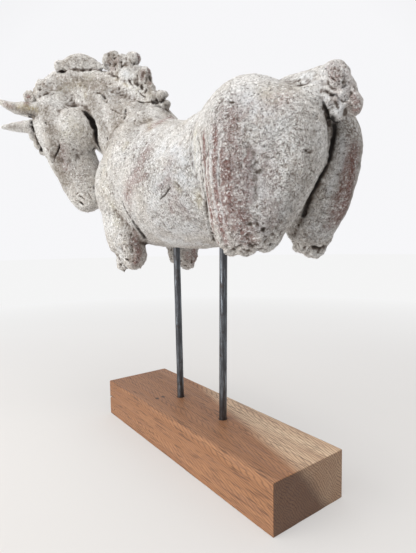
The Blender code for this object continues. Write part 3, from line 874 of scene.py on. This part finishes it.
CREAM = [
    ("body", (5, 1.0), [(194.9, 133), (195.8, 150), (196.3, 168)]),
    ("body", (5, 0.6), [(193, 172), (196, 190), (199, 205)]),
    ("body", (7, 0.35), [(265, 95), (272, 99), (268, 92)]),
    ("body", (8, 0.3), [(108, 150), (104, 168), (105, 188)]),
    ("body", (6, 0.5), [(112, 205), (116, 222)]),
    ("body", (7, 0.5), [(60, 90), (72, 84), (90, 78)]),
    ("head", (9, 0.4), [(70, 118), (78, 132), (66, 135)]),
    ("once", (6, 0.5), [(128, 75), (140, 90), (150, 95)]),
]
OCHRE = [
    ("once", (5, 1.0), [(20, 107), (28, 108), (36, 110)]),
    ("once", (3, 0.6), [(78, 84), (86, 88)]),
    ("once", (2, 0.7), [(85, 97), (85.5, 92)]),
    ("body", (3, 0.6), [(124, 148), (127, 143)]),
    ("body", (3, 0.5), [(149, 120), (150, 130)]),
    ("once", (3, 0.7), [(176, 184), (180, 190)]),
    ("body", (2.4, 0.7), [(199.8, 194), (199.5, 207)]),
    ("once", (2.4, 0.7), [(117.2, 73), (117.5, 80)]),
    ("once", (2.4, 0.6), [(124, 84), (128, 86)]),
]
CRUST = [
    ("body", (22, 1.0), [(140, 150), (160, 190), (185, 165), (190, 215), (160, 220)]),
    ("body", (24, 1.0), [(228, 110), (235, 150), (245, 200), (275, 180), (280, 130), (262, 225)]),
    ("once", (18, 0.9), [(350, 130), (348, 160), (335, 200), (318, 235)]),
    ("body", (10, 0.7), [(130, 215), (136, 245)]),
    ("head", (9, 0.7), [(66, 165), (78, 180), (86, 170)]),
    ("once", (9, 0.6), [(130, 80), (146, 92)]),
]
# Umber wash on the neck, mane and haunches, and painted shade in the cleft, the crevices and on the shaded sides
UMBER_AND_SHADE = [
    # Painted shade in the cleft between the thighs
    ("once", (6, 0.9), [(336, 125), (334, 138), (330, 159), (321, 177.5), (312, 193.4), (304, 216.9), (294, 233)]),
    ("body", (14, 0.85), [(50, 90), (75, 80), (98, 86), (116, 100), (118, 122), (108, 142)]),
    ("body", (11, 0.5), [(134, 100), (142, 116), (130, 134)]),
    ("head", (10, 0.95), [(44, 108), (49, 122), (53, 136), (57, 166), (64, 182)]),
    ("head", (12, 0.3), [(66, 115), (80, 128), (70, 142), (72, 165)]),
    # Painted shade beside the throat, in the ear's hollow, between the ears and in the cheek's crevice
    ("once", (9, 0.85), [(90, 97), (98, 112), (103, 128), (107, 146)]),
    ("once", (5, 0.9), [(8, 106), (22, 111), (34, 114)]),
    ("once", (5, 0.8), [(10, 125.5), (26, 127)]),
    ("once", (3.4, 1.0), [(32, 116), (33, 124), (35, 132), (37, 140), (42, 153)]),
    ("once", (6, 0.9), [(84, 111), (91, 120), (95.5, 131), (97, 141)]),
    ("once", (8, 0.8), [(110, 60), (116, 66), (130, 62), (146, 78), (150, 90), (160, 98), (166, 106)]),
    ("once", (7, 0.65), [(60, 66), (75, 60), (95, 62)]),
    ("once", (6, 0.85), [(106, 58), (112, 55), (118, 58), (112, 64)]),
    # Painted shade behind the forelock
    ("once", (6, 0.6), [(44, 82), (34, 92), (28, 104)]),
    ("once", (6, 0.6), [(30, 132), (36, 142), (41, 152)]),
    # Darker wash on the rear of the haunch, and painted shade on the far thigh
    ("body", (8, 0.5), [(302, 112), (311, 138), (307, 166), (296, 194), (282, 222)]),
    ("once", (14, 0.36), [(352, 126), (350, 150), (342, 176), (330, 204), (316, 240)]),
    ("once", (8, 0.1), [(330, 70), (346, 84), (340, 104)]),
    # Painted shade on the jaw's far edge and on the foreleg's shaded side
    ("head", (4, 0.5), [(97, 150), (97, 165), (95, 182)]),
    ("body", (6, 0.45), [(137, 230), (141, 243), (141, 258)]),
    ("body", (5, 0.5), [(125, 222), (130, 240), (134, 258)]),
    ("once", (8, 0.4), [(178, 250), (184, 262)]),
]
CHALK = [
    ("body", (0.9, 1.0), [(210.5, 135), (210.5, 160), (211.5, 186), (216, 212), (222, 238)]),
    ("body", (1.0, 0.9), [(219, 150), (218, 176), (220, 200), (224, 222)]),
    ("body", (9, 0.9), [(160, 150), (175, 150), (185, 160)]),
    ("body", (10, 0.7), [(150, 205), (170, 165), (188, 205)]),
    ("body", (9, 0.9), [(165, 240), (185, 243), (205, 244)]),
    ("body", (10, 0.8), [(160, 226), (185, 230), (203, 226)]),
    ("body", (7, 0.7), [(266, 226), (276, 220), (286, 208)]),
    ("once", (3, 0.8), [(336, 172), (328, 196), (320, 218)]),
    ("once", (2.4, 0.7), [(342, 140), (343, 156), (340, 168)]),
    ("once", (9, 0.9), [(312, 222), (320, 236)]),
    ("body", (5, 0.6), [(118, 236), (121, 256)]),
    ("body", (8, 0.9), [(176, 165), (192, 150), (192, 180), (180, 175)]),
    ("body", (9, 0.8), [(245, 95), (258, 118), (275, 122)]),
    ("body", (8, 0.6), [(262, 150), (258, 180), (262, 200)]),
    ("once", (7, 0.5), [(112, 96), (118, 104)]),
    ("once", (7, 0.9), [(124, 72), (132, 77), (138, 68)]),
    ("once", (5, 0.9), [(328, 100), (331, 108), (341, 112), (343, 94)]),
    ("once", (7, 0.8), [(304, 76), (316, 80), (322, 72)]),
    ("once", (6, 0.5), [(334, 68), (342, 72), (347, 92)]),
    ("body", (4, 0.8), [(196.5, 140), (197, 160), (198, 180)]),
]
# Painted shade: near-black colour laid into the deepest gaps, where shadow falls
GAP_SHADE = [
    ("once", (3.4, 1.0), [(85, 112), (91.5, 120), (95.5, 130), (97, 141), (100, 149), (101.5, 158)]),
    ("head", (1.1, 0.9), [(59.5, 145), (59, 148), (57.2, 152.2), (54.7, 156.3)]),
    ("head", (1.3, 0.8), [(81, 202.5), (83, 204.5)]),
    ("head", (1.2, 0.8), [(94.5, 186), (94.1, 191.5)]),
    ("head", (1.2, 0.8), [(45.6, 123)]),
    ("once", (2.6, 1.0), [(30, 117), (32, 122), (34, 129), (36, 136), (41, 150)]),
    ("once", (1.6, 0.7), [(28, 114), (35, 116.5)]),
    ("once", (2.8, 1.0), [(333, 118), (335, 126), (333, 139), (329, 158)]),
    ("once", (2.2, 0.9), [(329, 158), (320, 177.5), (311, 194), (303, 216)]),
    ("body", (1.0, 0.6), [(123.5, 204), (126, 210), (131, 218)]),
    ("body", (2.2, 0.8), [(133, 221), (139, 230), (144.5, 238)]),
    ("body", (1.8, 0.8), [(215.5, 236), (219.5, 248)]),
    ("body", (1.5, 0.8), [(102, 95), (105.3, 99)]),
    ("body", (1.3, 0.7), [(125.8, 109), (124.5, 119)]),
    ("body", (1.4, 0.8), [(107.4, 138.2)]),
    ("once", (0.8, 0.6), [(168.8, 189), (165.2, 194.3), (161, 198)]),
    ("body", (0.9, 0.5), [(229.5, 101.4), (233.5, 101.8)]),
    ("once", (2.2, 0.8), [(58, 72), (64, 71.8)]),
    ("once", (2.0, 0.8), [(100.5, 70), (102, 71.5)]),
    ("once", (2.0, 0.4), [(143, 73), (142, 77.5)]),
    ("once", (1.6, 0.5), [(149.4, 71), (149.8, 84)]),
    ("once", (0.9, 0.8), [(137.4, 75.3)]),
    ("once", (0.9, 0.5), [(129.5, 81.5), (134, 87.5)]),
    ("once", (0.9, 0.4), [(137, 90.5), (145, 97)]),
    ("once", (1.6, 0.5), [(137, 54), (139, 60), (137.6, 64)]),
    ("once", (3.2, 0.6), [(105, 65), (109, 70)]),
    ("once", (2.2, 0.35), [(114.5, 64.5), (115.5, 69)]),
    ("once", (2.2, 0.9), [(153, 102), (158, 103.5), (163, 101.5)]),
    ("once", (2.0, 0.6), [(155, 106), (161, 107)]),
    ("once", (0.8, 0.5), [(159.5, 98), (161.5, 92.5), (164.5, 93), (165.3, 99)]),
    ("once", (1.4, 0.7), [(139, 102), (144, 103)]),
    ("once", (1.0, 0.8), [(342, 88), (346.5, 84.6)]),
    ("once", (1.1, 0.9), [(331.5, 94.8), (336.5, 95)]),
    ("once", (0.7, 0.5), [(328.5, 84), (331.5, 87.8), (336, 89.3), (341, 88.4)]),
    ("once", (0.7, 0.5), [(320, 89.4), (324, 89.8), (328, 92.5)]),
    ("once", (0.7, 0.7), [(337.5, 97), (343, 102), (347, 100), (350, 96)]),
    ("once", (1.1, 0.9), [(323, 102), (325.8, 109), (329, 116)]),
    ("once", (2.6, 1.0), [(329, 118), (333, 121), (339, 122.5)]),
]


def cutter_rod(base_x, lean):
    """A cutter for a rod's socket in the clay and in the block."""
    base, along = rod_axis(base_x, lean)
    low, high = rod_ends(base, along, ROD_CLEARANCE)
    form = bmesh.new()
    bmesh.ops.create_cone(
        form, cap_ends=True, segments=40, radius1=ROD_DIAMETER / 2 + ROD_CLEARANCE,
        radius2=ROD_DIAMETER / 2 + ROD_CLEARANCE, depth=(high - low).length,
        matrix=Matrix.LocRotScale((low + high) / 2, along.to_track_quat("Z", "Y"), None))
    mesh = bpy.data.meshes.new("socket")
    form.to_mesh(mesh)
    form.free()
    return linked("socket", mesh)


def rod_axis(base_x, lean):
    """Where a rod's axis leaves the block, and the way it points."""
    base = Vector((base_x, 0, BLOCK_HEIGHT))
    return base, (Vector((base_x + lean, 0, BELLY_HEIGHT)) - base).normalized()


def rod_ends(base, along, margin=0.0):
    to_belly = (BELLY_HEIGHT - BLOCK_HEIGHT) / along.z
    return (base - along * (ROD_DEPTH_IN_BLOCK + margin),
            base + along * (to_belly + ROD_DEPTH_IN_CLAY + margin))


def carve(form, cutters):
    for cutter in cutters:
        cut = form.modifiers.new(cutter.name, "BOOLEAN")
        cut.operation = "DIFFERENCE"
        cut.solver = "EXACT"
        cut.object = cutter


def finished(name, form, surface, node):
    """The piece that takes a CAD node's place, with its modifiers worked into its mesh."""
    mesh = evaluated_copy(form)
    bpy.data.objects.remove(form)
    mesh.materials.clear()
    mesh.materials.append(surface)
    mesh.shade_smooth()
    piece = linked(name, mesh)
    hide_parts(node)
    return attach(piece, "root")


def keep_inside(mesh, node):
    """Brings points that the tool marks raised beyond the CAD node's box back onto it."""
    low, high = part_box(node)
    places, _ = mesh_arrays(mesh)
    mesh.vertices.foreach_set("co", np.clip(places, low, high).astype(np.float32).ravel())
    mesh.update()


# Materials

def linear(colour):
    """An sRGB hex colour as linear red, green, blue and alpha."""
    parts = [int(colour[i:i + 2], 16) / 255 for i in (1, 3, 5)]
    return (*(c / 12.92 if c <= 0.04045 else ((c + 0.055) / 1.055)**2.4 for c in parts), 1)


def add(tree, kind, inputs=None, **settings):
    """One node with its settings, and its inputs set to a value or linked to another node's output."""
    made = tree.nodes.new(kind)
    for name, value in settings.items():
        setattr(made, name, value)
    for key, value in (inputs or {}).items():
        if isinstance(value, bpy.types.NodeSocket):
            tree.links.new(value, made.inputs[key])
        else:
            made.inputs[key].default_value = value
    return made


def empty_material(name):
    surface = bpy.data.materials.new(name)
    surface.use_nodes = True
    surface.node_tree.nodes.clear()
    return surface, surface.node_tree


def coated(tree, colour, coats):
    """Coats laid one over another: each has a colour, and a strength where its pattern runs from low to high."""
    for tone, pattern, low, high, strength, within in coats:
        cover = add(tree, "ShaderNodeMapRange", {
            "Value": pattern, "From Min": low, "From Max": high, "To Max": strength}, clamp=True).outputs[0]
        if within is not None:
            cover = add(tree, "ShaderNodeMath", {0: cover, 1: within}, operation="MULTIPLY",
                        use_clamp=True).outputs[0]
        above = tone if isinstance(tone, bpy.types.NodeSocket) else linear(tone)
        colour = add(tree, "ShaderNodeMix", {0: cover, 6: colour, 7: above}, data_type="RGBA").outputs[2]
    return colour


def fired_clay():
    """Grogged stoneware, unglazed: pale grey slip rubbed off in places, iron oxide, and dirt with painted shade in
    the hollows.
    """
    surface, tree = empty_material("Grogged stoneware with rubbed slip and iron oxide")
    where = add(tree, "ShaderNodeTexCoord").outputs["Object"]
    # Each pattern: how many mm across, detail, roughness and swirl
    pattern = {}
    for name, size_mm, detail, rough, swirl in (
        ("broad", 34, 3, 0.55, 0),
        ("patch", 12, 4, 0.65, 0.4),
        ("rub", 6, 5, 0.7, 0.6),
        ("drag", 3.6, 5, 0.7, 0.9),
        ("grog", 1.7, 3, 0.7, 0.2),
        ("pale grog", 2.3, 3, 0.65, 0.3),
        ("worm", 9, 2, 0.5, 2.2),
        ("pale worm", 6, 3, 0.55, 1.6),
        ("crust", 3.4, 6, 0.8, 1.1),
        ("tooth", 2.2, 5, 0.7, 0),
    ):
        pattern[name] = add(tree, "ShaderNodeTexNoise", {
            "Vector": where, "Scale": 1000 / size_mm, "Detail": detail, "Roughness": rough,
            "Distortion": swirl}).outputs["Fac"]
    # Thin wandering scratches follow the line where a swirled pattern crosses its middle value
    for name in ("worm", "pale worm"):
        off = add(tree, "ShaderNodeMath", {0: pattern[name], 1: 0.5}, operation="SUBTRACT").outputs[0]
        pattern[name] = add(tree, "ShaderNodeMath", {0: off}, operation="ABSOLUTE").outputs[0]
    layer = {}
    for name in ("chalk", "cream", "ochre", "umber_and_shade", "oxide", "crust", "gap_shade", "raised", "hollow_dirt_and_shade"):
        layer[name] = add(tree, "ShaderNodeAttribute", attribute_name=name).outputs["Fac"]

    colour = coated(tree, linear("#BCB5AC"), (
        # Slip: broad shifts to a cooler white, patches where the buff body shows through, and creamy ones
        ("#D6D4D1", pattern["broad"], 0.36, 0.62, 1, None),
        ("#ABA198", pattern["rub"], 0.50, 0.66, 0.6, None),
        ("#E0DCC8", pattern["rub"], 0.36, 0.54, 0.9, layer["cream"]),
        # Rubbed high places are paler
        ("#EFECE7", layer["raised"], 0, 1, 0.5, None),
        # Dried slip that crumbled under the brush, thick on the flank and the hind quarter
        ("#6E5B54", pattern["crust"], 0.475, 0.43, 0.85, layer["crust"]),
        ("#FFFFFF", pattern["crust"], 0.515, 0.55, 0.95, layer["crust"]),
        # Iron oxide: mauve where thin, red-brown where thick, broken up by brush drags
        ("#9F8985", pattern["rub"], 0.28, 0.50, 1, layer["oxide"]),
        ("#7C5047", pattern["drag"], 0.41, 0.52, 0.95, layer["oxide"]),
        # Chalky slip brushed on last, over the oxide
        ("#E6E8EA", pattern["patch"], 0.38, 0.56, 0.9, layer["chalk"]),
        # Scratches 1 mm wide, dark and pale
        ("#5E5249", pattern["worm"], 0.018, 0.003, 0.75, None),
        ("#EDEDEC", pattern["pale worm"], 0.022, 0.004, 0.55, None),
        # Grog and pin-holes, drawn about 2 mm across where the real ones are under 1 mm
        ("#4A3E36", pattern["grog"], 0.58, 0.64, 0.75, None),
        ("#F8F7F5", pattern["pale grog"], 0.57, 0.63, 0.8, None),
        # Ochre and umber washes over all that, on the ears, the mane and the neck; the umber also lays painted
        # shade into the cleft between the thighs, the crevices by the cheek and the ears, and on the shaded sides
        # of the jaw, foreleg and far thigh
        ("#A08F62", pattern["drag"], 0.38, 0.58, 0.8, layer["ochre"]),
        ("#6B5F52", pattern["rub"], 0.28, 0.56, 0.85, layer["umber_and_shade"]),
        # Dirt in the hollows, darkened further there as painted shade, near-black where deepest
        ("#64564B", layer["hollow_dirt_and_shade"], 0.10, 0.60, 0.85, None),
        ("#2A2421", layer["hollow_dirt_and_shade"], 0.50, 1.0, 0.85, None),
        # Painted shade: near-black in the deepest gaps
        ("#1E1917", layer["gap_shade"], 0.15, 0.8, 0.95, None),
    ))
    # Tooth of the grog, with the scratches cut into it
    cut = add(tree, "ShaderNodeMapRange", {
        "Value": pattern["worm"], "From Min": 0, "From Max": 0.016, "To Min": -0.4, "To Max": 0},
        clamp=True).outputs[0]
    lumps = add(tree, "ShaderNodeMath", {0: pattern["crust"], 1: layer["crust"]}, operation="MULTIPLY").outputs[0]
    grain = add(tree, "ShaderNodeMath", {0: pattern["tooth"], 1: cut}, operation="ADD").outputs[0]
    grain = add(tree, "ShaderNodeMath", {0: lumps, 1: 1.6, 2: grain}, operation="MULTIPLY_ADD").outputs[0]
    bump = add(tree, "ShaderNodeBump", {"Height": grain, "Strength": 1.0, "Distance": 1.8 * MM})
    shader = add(tree, "ShaderNodeBsdfPrincipled", {
        "Base Color": colour, "Roughness": 0.9, "IOR": 1.5, "Specular IOR Level": 0.25,
        "Normal": bump.outputs["Normal"]})
    add(tree, "ShaderNodeOutputMaterial", {"Surface": shader.outputs[0]})
    return surface


def blackened_steel():
    """Hot-rolled round bar: blue-black mill scale, worn to grey metal in long thin lines."""
    surface, tree = empty_material("Hot-rolled steel with blued mill scale")
    where = add(tree, "ShaderNodeTexCoord").outputs["Object"]
    drawn = add(tree, "ShaderNodeMapping", {"Vector": where, "Scale": (1, 1, 0.06)}).outputs[0]
    lines = add(tree, "ShaderNodeTexNoise", {"Vector": drawn, "Scale": 900, "Detail": 4}).outputs["Fac"]
    blots = add(tree, "ShaderNodeTexNoise", {"Vector": where, "Scale": 160, "Detail": 4}).outputs["Fac"]
    colour = coated(tree, linear("#4D4E51"), (
        ("#959DA5", lines, 0.50, 0.72, 0.8, None),
        ("#463C37", blots, 0.56, 0.72, 0.7, None),
    ))
    rough = add(tree, "ShaderNodeMapRange", {
        "Value": blots, "From Min": 0.3, "From Max": 0.7, "To Min": 0.30, "To Max": 0.52}, clamp=True).outputs[0]
    bump = add(tree, "ShaderNodeBump", {"Height": lines, "Strength": 0.35, "Distance": 0.15 * MM})
    shader = add(tree, "ShaderNodeBsdfPrincipled", {
        "Base Color": colour, "Metallic": 0.9, "Roughness": rough, "Normal": bump.outputs["Normal"]})
    add(tree, "ShaderNodeOutputMaterial", {"Surface": shader.outputs[0]})
    return surface


def oiled_oak():
    """Sawn hardwood, oiled: red-brown heartwood, a paler band of sapwood, long dark pores."""
    surface, tree = empty_material("Oiled oak with heartwood and sapwood")
    where = add(tree, "ShaderNodeTexCoord").outputs["Object"]
    # The fibres run along the block, 9 degrees off its length
    fibre = add(tree, "ShaderNodeMapping", {
        "Vector": where, "Rotation": (0, math.radians(-8), math.radians(9)), "Scale": (0.05, 1, 1)}).outputs[0]
    pattern = {}
    for name, size_mm, detail, rough in (
        ("waver", 22, 3, 0.55),
        ("flame", 16, 4, 0.6),
        ("streak", 7.7, 4, 0.6),
        ("line", 2.4, 3, 0.6),
        ("pore", 1.1, 2, 0.5),
    ):
        pattern[name] = add(tree, "ShaderNodeTexNoise", {
            "Vector": fibre, "Scale": 1000 / size_mm, "Detail": detail, "Roughness": rough}).outputs["Fac"]
    # The growth rings lie across this direction, so they leave the end as slanting lines
    across = add(tree, "ShaderNodeVectorMath", {0: where, 1: (0.273, 1.0, 0.83)}, operation="DOT_PRODUCT")
    rings = add(tree, "ShaderNodeMath", {
        0: pattern["waver"], 1: 0.016, 2: across.outputs["Value"]}, operation="MULTIPLY_ADD").outputs[0]
    # Late wood is a darker line every 2.6 mm across the rings
    late = add(tree, "ShaderNodeMath", {0: rings, 1: 2 * math.pi / 0.0026}, operation="MULTIPLY").outputs[0]
    late = add(tree, "ShaderNodeMath", {0: late}, operation="SINE").outputs[0]
    facing = add(tree, "ShaderNodeNewGeometry").outputs["Normal"]
    end = add(tree, "ShaderNodeVectorMath", {0: facing, 1: (1, 0, 0)}, operation="DOT_PRODUCT").outputs["Value"]
    end = add(tree, "ShaderNodeMath", {0: end}, operation="ABSOLUTE").outputs[0]

    sawn_line = add(tree, "ShaderNodeMath", {0: late, 1: end}, operation="MULTIPLY").outputs[0]

    sapwood = coated(tree, linear("#BE9B7B"), (
        ("#D6BC9E", pattern["flame"], 0.35, 0.65, 1, None),
    ))
    sawn_end = coated(tree, linear("#4C372B"), (
        ("#8A6B52", rings, 0.069, 0.082, 1, None),
    ))
    colour = coated(tree, linear("#90623F"), (
        ("#AC7C57", pattern["flame"], 0.35, 0.65, 1, None),
        ("#7C5743", pattern["streak"], 0.54, 0.74, 0.5, None),
        (sapwood, rings, 0.066, 0.078, 1, None),
        ("#5C3B29", late, 0.2, 0.95, 0.5, None),
        ("#8A6550", pattern["line"], 0.54, 0.66, 0.5, None),
        ("#4A2F21", pattern["pore"], 0.55, 0.64, 0.65, None),
        # The end that was sawn across drinks more oil and is darker
        (sawn_end, end, 0.7, 0.95, 0.72, None),
        ("#3B281D", sawn_line, 0.2, 1.0, 0.4, None),
    ))
    # Two small knots in the top
    for knot in ((-0.0560, -0.0256, BLOCK_HEIGHT), (-0.0565, -0.0173, BLOCK_HEIGHT)):
        off = add(tree, "ShaderNodeVectorMath", {0: where, 1: knot}, operation="SUBTRACT").outputs[0]
        off = add(tree, "ShaderNodeVectorMath", {0: off, 1: (0.7, 1, 1)}, operation="MULTIPLY").outputs[0]
        off = add(tree, "ShaderNodeVectorMath", {0: off}, operation="LENGTH").outputs["Value"]
        colour = coated(tree, colour, (("#36221A", off, 2.8 * MM, 1.3 * MM, 0.9, None),))
    rough = add(tree, "ShaderNodeMapRange", {
        "Value": pattern["streak"], "From Min": 0.3, "From Max": 0.7, "To Min": 0.48, "To Max": 0.62},
        clamp=True).outputs[0]
    bump = add(tree, "ShaderNodeBump", {"Height": pattern["pore"], "Strength": 0.4, "Distance": -0.3 * MM})
    shader = add(tree, "ShaderNodeBsdfPrincipled", {
        "Base Color": colour, "Roughness": rough, "IOR": 1.47, "Normal": bump.outputs["Normal"]})
    add(tree, "ShaderNodeOutputMaterial", {"Surface": shader.outputs[0]})
    return surface


# Rods and block

def steel_bar(name, base_x, lean, surface, node):
    """A round bar with its sawn ends eased, slightly out of true along its length."""
    base, along = rod_axis(base_x, lean)
    low, high = rod_ends(base, along)
    turn = along.to_track_quat("Z", "Y").to_matrix()
    length = (high - low).length
    sides = 40
    heights = [0, 0.0003, 0.0008, *np.arange(0.002, length - 0.001, 0.002), length - 0.0008,
               length - 0.0003, length]
    form = bmesh.new()
    rings = []
    for height in heights:
        from_end = min(height, length - height)
        radius = ROD_DIAMETER / 2 - max(0, 0.0008 - from_end) * 0.8
        ring = []
        for corner in range(sides):
            angle = 2 * math.pi * corner / sides
            dent = 0.03 * MM * math.sin(3 * angle + height * 90) * math.sin(height * 210)
            point = Vector((math.cos(angle), math.sin(angle), 0)) * (radius - abs(dent))
            ring.append(form.verts.new(low + turn @ point + along * height))
        rings.append(ring)
    for below, above in zip(rings, rings[1:]):
        for corner in range(sides):
            after = (corner + 1) % sides
            form.faces.new((below[corner], below[after], above[after], above[corner]))
    form.faces.new(list(reversed(rings[0])))
    form.faces.new(rings[-1])
    mesh = bpy.data.meshes.new(name)
    form.to_mesh(mesh)
    form.free()
    return finished(name, linked(name, mesh), surface, node)


def spread(half, edge, step):
    """Places from one face to the other, closer together near the edges."""
    inner = np.linspace(-half + 1.6 * edge, half - 1.6 * edge, max(2, round(2 * half / step)))
    near = half - edge * np.array([0, 0.3, 0.65, 1.0])
    return np.unique(np.round(np.concatenate((-near, inner, near)), 6))


def worn_block(surface, cutters):
    """The sawn block: eased edges worn unevenly."""
    half = np.array((BLOCK_LENGTH, BLOCK_WIDTH, BLOCK_HEIGHT)) / 2
    edge = 0.0011
    lines = [spread(h, edge, 0.003) for h in half]
    form = bmesh.new()
    for axis in range(3):
        u_axis, v_axis = [a for a in range(3) if a != axis]
        for sign in (-1, 1):
            grid = []
            for u in lines[u_axis]:
                row = []
                for v in lines[v_axis]:
                    point = [0, 0, 0]
                    point[axis] = sign * half[axis]
                    point[u_axis] = u
                    point[v_axis] = v
                    row.append(form.verts.new(point))
                grid.append(row)
            for a, b in zip(grid, grid[1:]):
                for i in range(len(a) - 1):
                    form.faces.new((a[i], a[i + 1], b[i + 1], b[i]))
    bmesh.ops.remove_doubles(form, verts=form.verts, dist=1e-6)
    bmesh.ops.recalc_face_normals(form, faces=form.faces)
    mesh = bpy.data.meshes.new("oak_block_worn")
    form.to_mesh(mesh)
    form.free()
    places, _ = mesh_arrays(mesh)
    wear = edge * (0.75 + 0.25 * cloud(places, 0.011, 41))[:, None]
    inner = np.clip(places, -half + wear, half - wear)
    out = places - inner
    size = np.maximum(np.linalg.norm(out, axis=1, keepdims=True), 1e-9)
    places = inner + out / size * np.minimum(size, wear)
    mesh.vertices.foreach_set("co", (places + (0, 0, BLOCK_HEIGHT / 2)).astype(np.float32).ravel())
    mesh.update()
    form = linked("oak_block_worn", mesh)
    carve(form, cutters)
    return finished("oak_block_worn", form, surface, "oak_block")


def wedge(name, corners, height):
    """A cutter over a flat outline of (x, y, z) corners, drawn up by a height."""
    form = bmesh.new()
    low = [form.verts.new(corner) for corner in corners]
    high = [form.verts.new(Vector(corner) + Vector(height)) for corner in corners]
    form.faces.new(list(reversed(low)))
    form.faces.new(high)
    for i in range(len(low)):
        j = (i + 1) % len(low)
        form.faces.new((low[i], low[j], high[j], high[i]))
    bmesh.ops.recalc_face_normals(form, faces=form.faces)
    mesh = bpy.data.meshes.new(name)
    form.to_mesh(mesh)
    form.free()
    return linked(name, mesh)


def block_damage():
    """The split in one corner, the worm hole beside it and two knocked corners."""
    x = -BLOCK_LENGTH / 2
    y = -BLOCK_WIDTH / 2
    cutters = [wedge("split", [(x - 0.001, y + 0.004, 0.0232), (x + 0.0075, y - 0.001, 0.0245),
                               (x - 0.001, y - 0.001, 0.0195)], (0, 0, 0.0012))]
    for side, size in ((-1, 0.0045), (1, 0.0035)):
        beyond = Vector((side, side, -1)) * MM
        corner = Vector((side * BLOCK_LENGTH / 2, side * BLOCK_WIDTH / 2, 0)) + beyond
        outline = [corner - Vector((side * size, 0, 0)), corner - Vector((0, side * size, 0)),
                   corner + Vector((0, 0, size))]
        cutters.append(wedge("knock", outline, beyond * 5))
    form = bmesh.new()
    bmesh.ops.create_cone(
        form, cap_ends=True, segments=16, radius1=0.0011, radius2=0.0007, depth=0.016,
        matrix=Matrix.LocRotScale(Vector((x + 0.0125, y + 0.004, 0.0085)),
                                  Euler((math.radians(90), 0, 0.4)), None))
    mesh = bpy.data.meshes.new("worm_hole")
    form.to_mesh(mesh)
    form.free()
    return cutters + [linked("worm_hole", mesh)]


# Studio

def studio():
    world = bpy.data.worlds.new("Soft studio")
    bpy.context.scene.world = world
    world.use_nodes = True
    sky = world.node_tree
    # The pale backdrop behind the horse glows; the rest of the room is dimmer
    toward = add(sky, "ShaderNodeTexCoord").outputs["Generated"]
    toward = add(sky, "ShaderNodeVectorMath", {0: toward, 1: BACKDROP}, operation="DOT_PRODUCT").outputs["Value"]
    shine = add(sky, "ShaderNodeMapRange", {
        "Value": toward, "From Min": 0.35, "From Max": 0.85, "To Min": 0.6, "To Max": 0.97})
    sky.links.new(shine.outputs[0], sky.nodes["Background"].inputs["Strength"])
    sky.nodes["Background"].inputs["Color"].default_value = linear("#FAFAFC")

    form = bmesh.new()
    bmesh.ops.create_circle(form, cap_ends=True, segments=64, radius=6)
    mesh = bpy.data.meshes.new("studio_floor")
    form.to_mesh(mesh)
    form.free()
    floor = linked("studio_floor", mesh)
    surface, tree = empty_material("White studio floor with painted glow")
    # Painted light: the floor glows, more strongly away from the middle and towards the backdrop, lighting the
    # horse from below and paling the shadows
    where = add(tree, "ShaderNodeTexCoord").outputs["Object"]
    far = add(tree, "ShaderNodeVectorMath", {0: where}, operation="LENGTH").outputs["Value"]
    behind = add(tree, "ShaderNodeVectorMath", {0: where, 1: BACKDROP}, operation="DOT_PRODUCT").outputs["Value"]
    fade = add(tree, "ShaderNodeMapRange", {
        "Value": far, "From Min": 0.25, "From Max": 1.3, "To Min": 0.4}, clamp=True)
    painted_glow_strength = add(tree, "ShaderNodeMapRange", {
        "Value": behind, "From Min": -0.6, "From Max": 0.6, "To Min": 0.76, "To Max": 0.95}, clamp=True)
    matt = add(tree, "ShaderNodeBsdfDiffuse", {"Color": linear("#D9D5D1")})
    painted_glow = add(tree, "ShaderNodeEmission", {"Color": linear("#FAFAFA"), "Strength": painted_glow_strength.outputs[0]})
    both = add(tree, "ShaderNodeMixShader", {0: fade.outputs[0], 1: matt.outputs[0], 2: painted_glow.outputs[0]})
    add(tree, "ShaderNodeOutputMaterial", {"Surface": both.outputs[0]})
    mesh.materials.append(surface)

    for name, place, size, power in (
        ("Key softbox", Vector((-0.40, -1.00, 0.80)), 0.9, 6.0),
        ("Low fill", Vector((-0.10, -1.05, 0.10)), 0.9, 8.6),
        ("Overhead softbox", Vector((0.35, -0.20, 1.40)), 1.0, 9.0),
    ):
        light = bpy.data.lights.new(name, "AREA")
        light.energy = power
        light.size = size
        light.color = linear("#FFFEFC")[:3]
        lamp = bpy.data.objects.new(name, light)
        bpy.context.scene.collection.objects.link(lamp)
        aim = Vector((0, 0, 0.25)) - place
        lamp.matrix_world = Matrix.LocRotScale(place, aim.to_track_quat("-Z", "Y"), None)

    lens = bpy.data.cameras.new("Photo camera")
    lens.sensor_fit = "VERTICAL"
    lens.sensor_height = 36
    lens.lens = FOCAL_PIXELS / PHOTO_HEIGHT * 36
    lens.clip_start = 0.01
    camera = bpy.data.objects.new("Photo camera", lens)
    bpy.context.scene.collection.objects.link(camera)
    turn = Matrix((CAMERA_RIGHT, CAMERA_UP, CAMERA_RIGHT.cross(CAMERA_UP))).transposed()
    camera.matrix_world = Matrix.Translation(CAMERA_PLACE) @ turn.to_4x4()
    bpy.context.scene.camera = camera
    bpy.context.scene.view_settings.view_transform = "Standard"


def build():
    clay = fired_clay()
    steel = blackened_steel()
    oak = oiled_oak()
    sockets = [cutter_rod(*rod) for rod in (FRONT_ROD, REAR_ROD)]
    damage = block_damage()

    skin = clay_skin()
    tooled(skin)
    form = linked("clay_horse", skin)
    count = sum(len(face.vertices) - 2 for face in skin.polygons)
    thin = form.modifiers.new("Fewer faces", "DECIMATE")
    thin.ratio = CLAY_TRIANGLES / count
    carve(form, sockets)
    horse = finished("clay_horse", form, clay, "horse")
    keep_inside(horse.data, "horse")
    painted(horse.data)

    worn_block(oak, sockets + damage)
    steel_bar("front_bar", *FRONT_ROD, steel, "front_rod")
    steel_bar("rear_bar", *REAR_ROD, steel, "rear_rod")
    for cutter in sockets + damage:
        bpy.data.objects.remove(cutter)
    studio()


build()
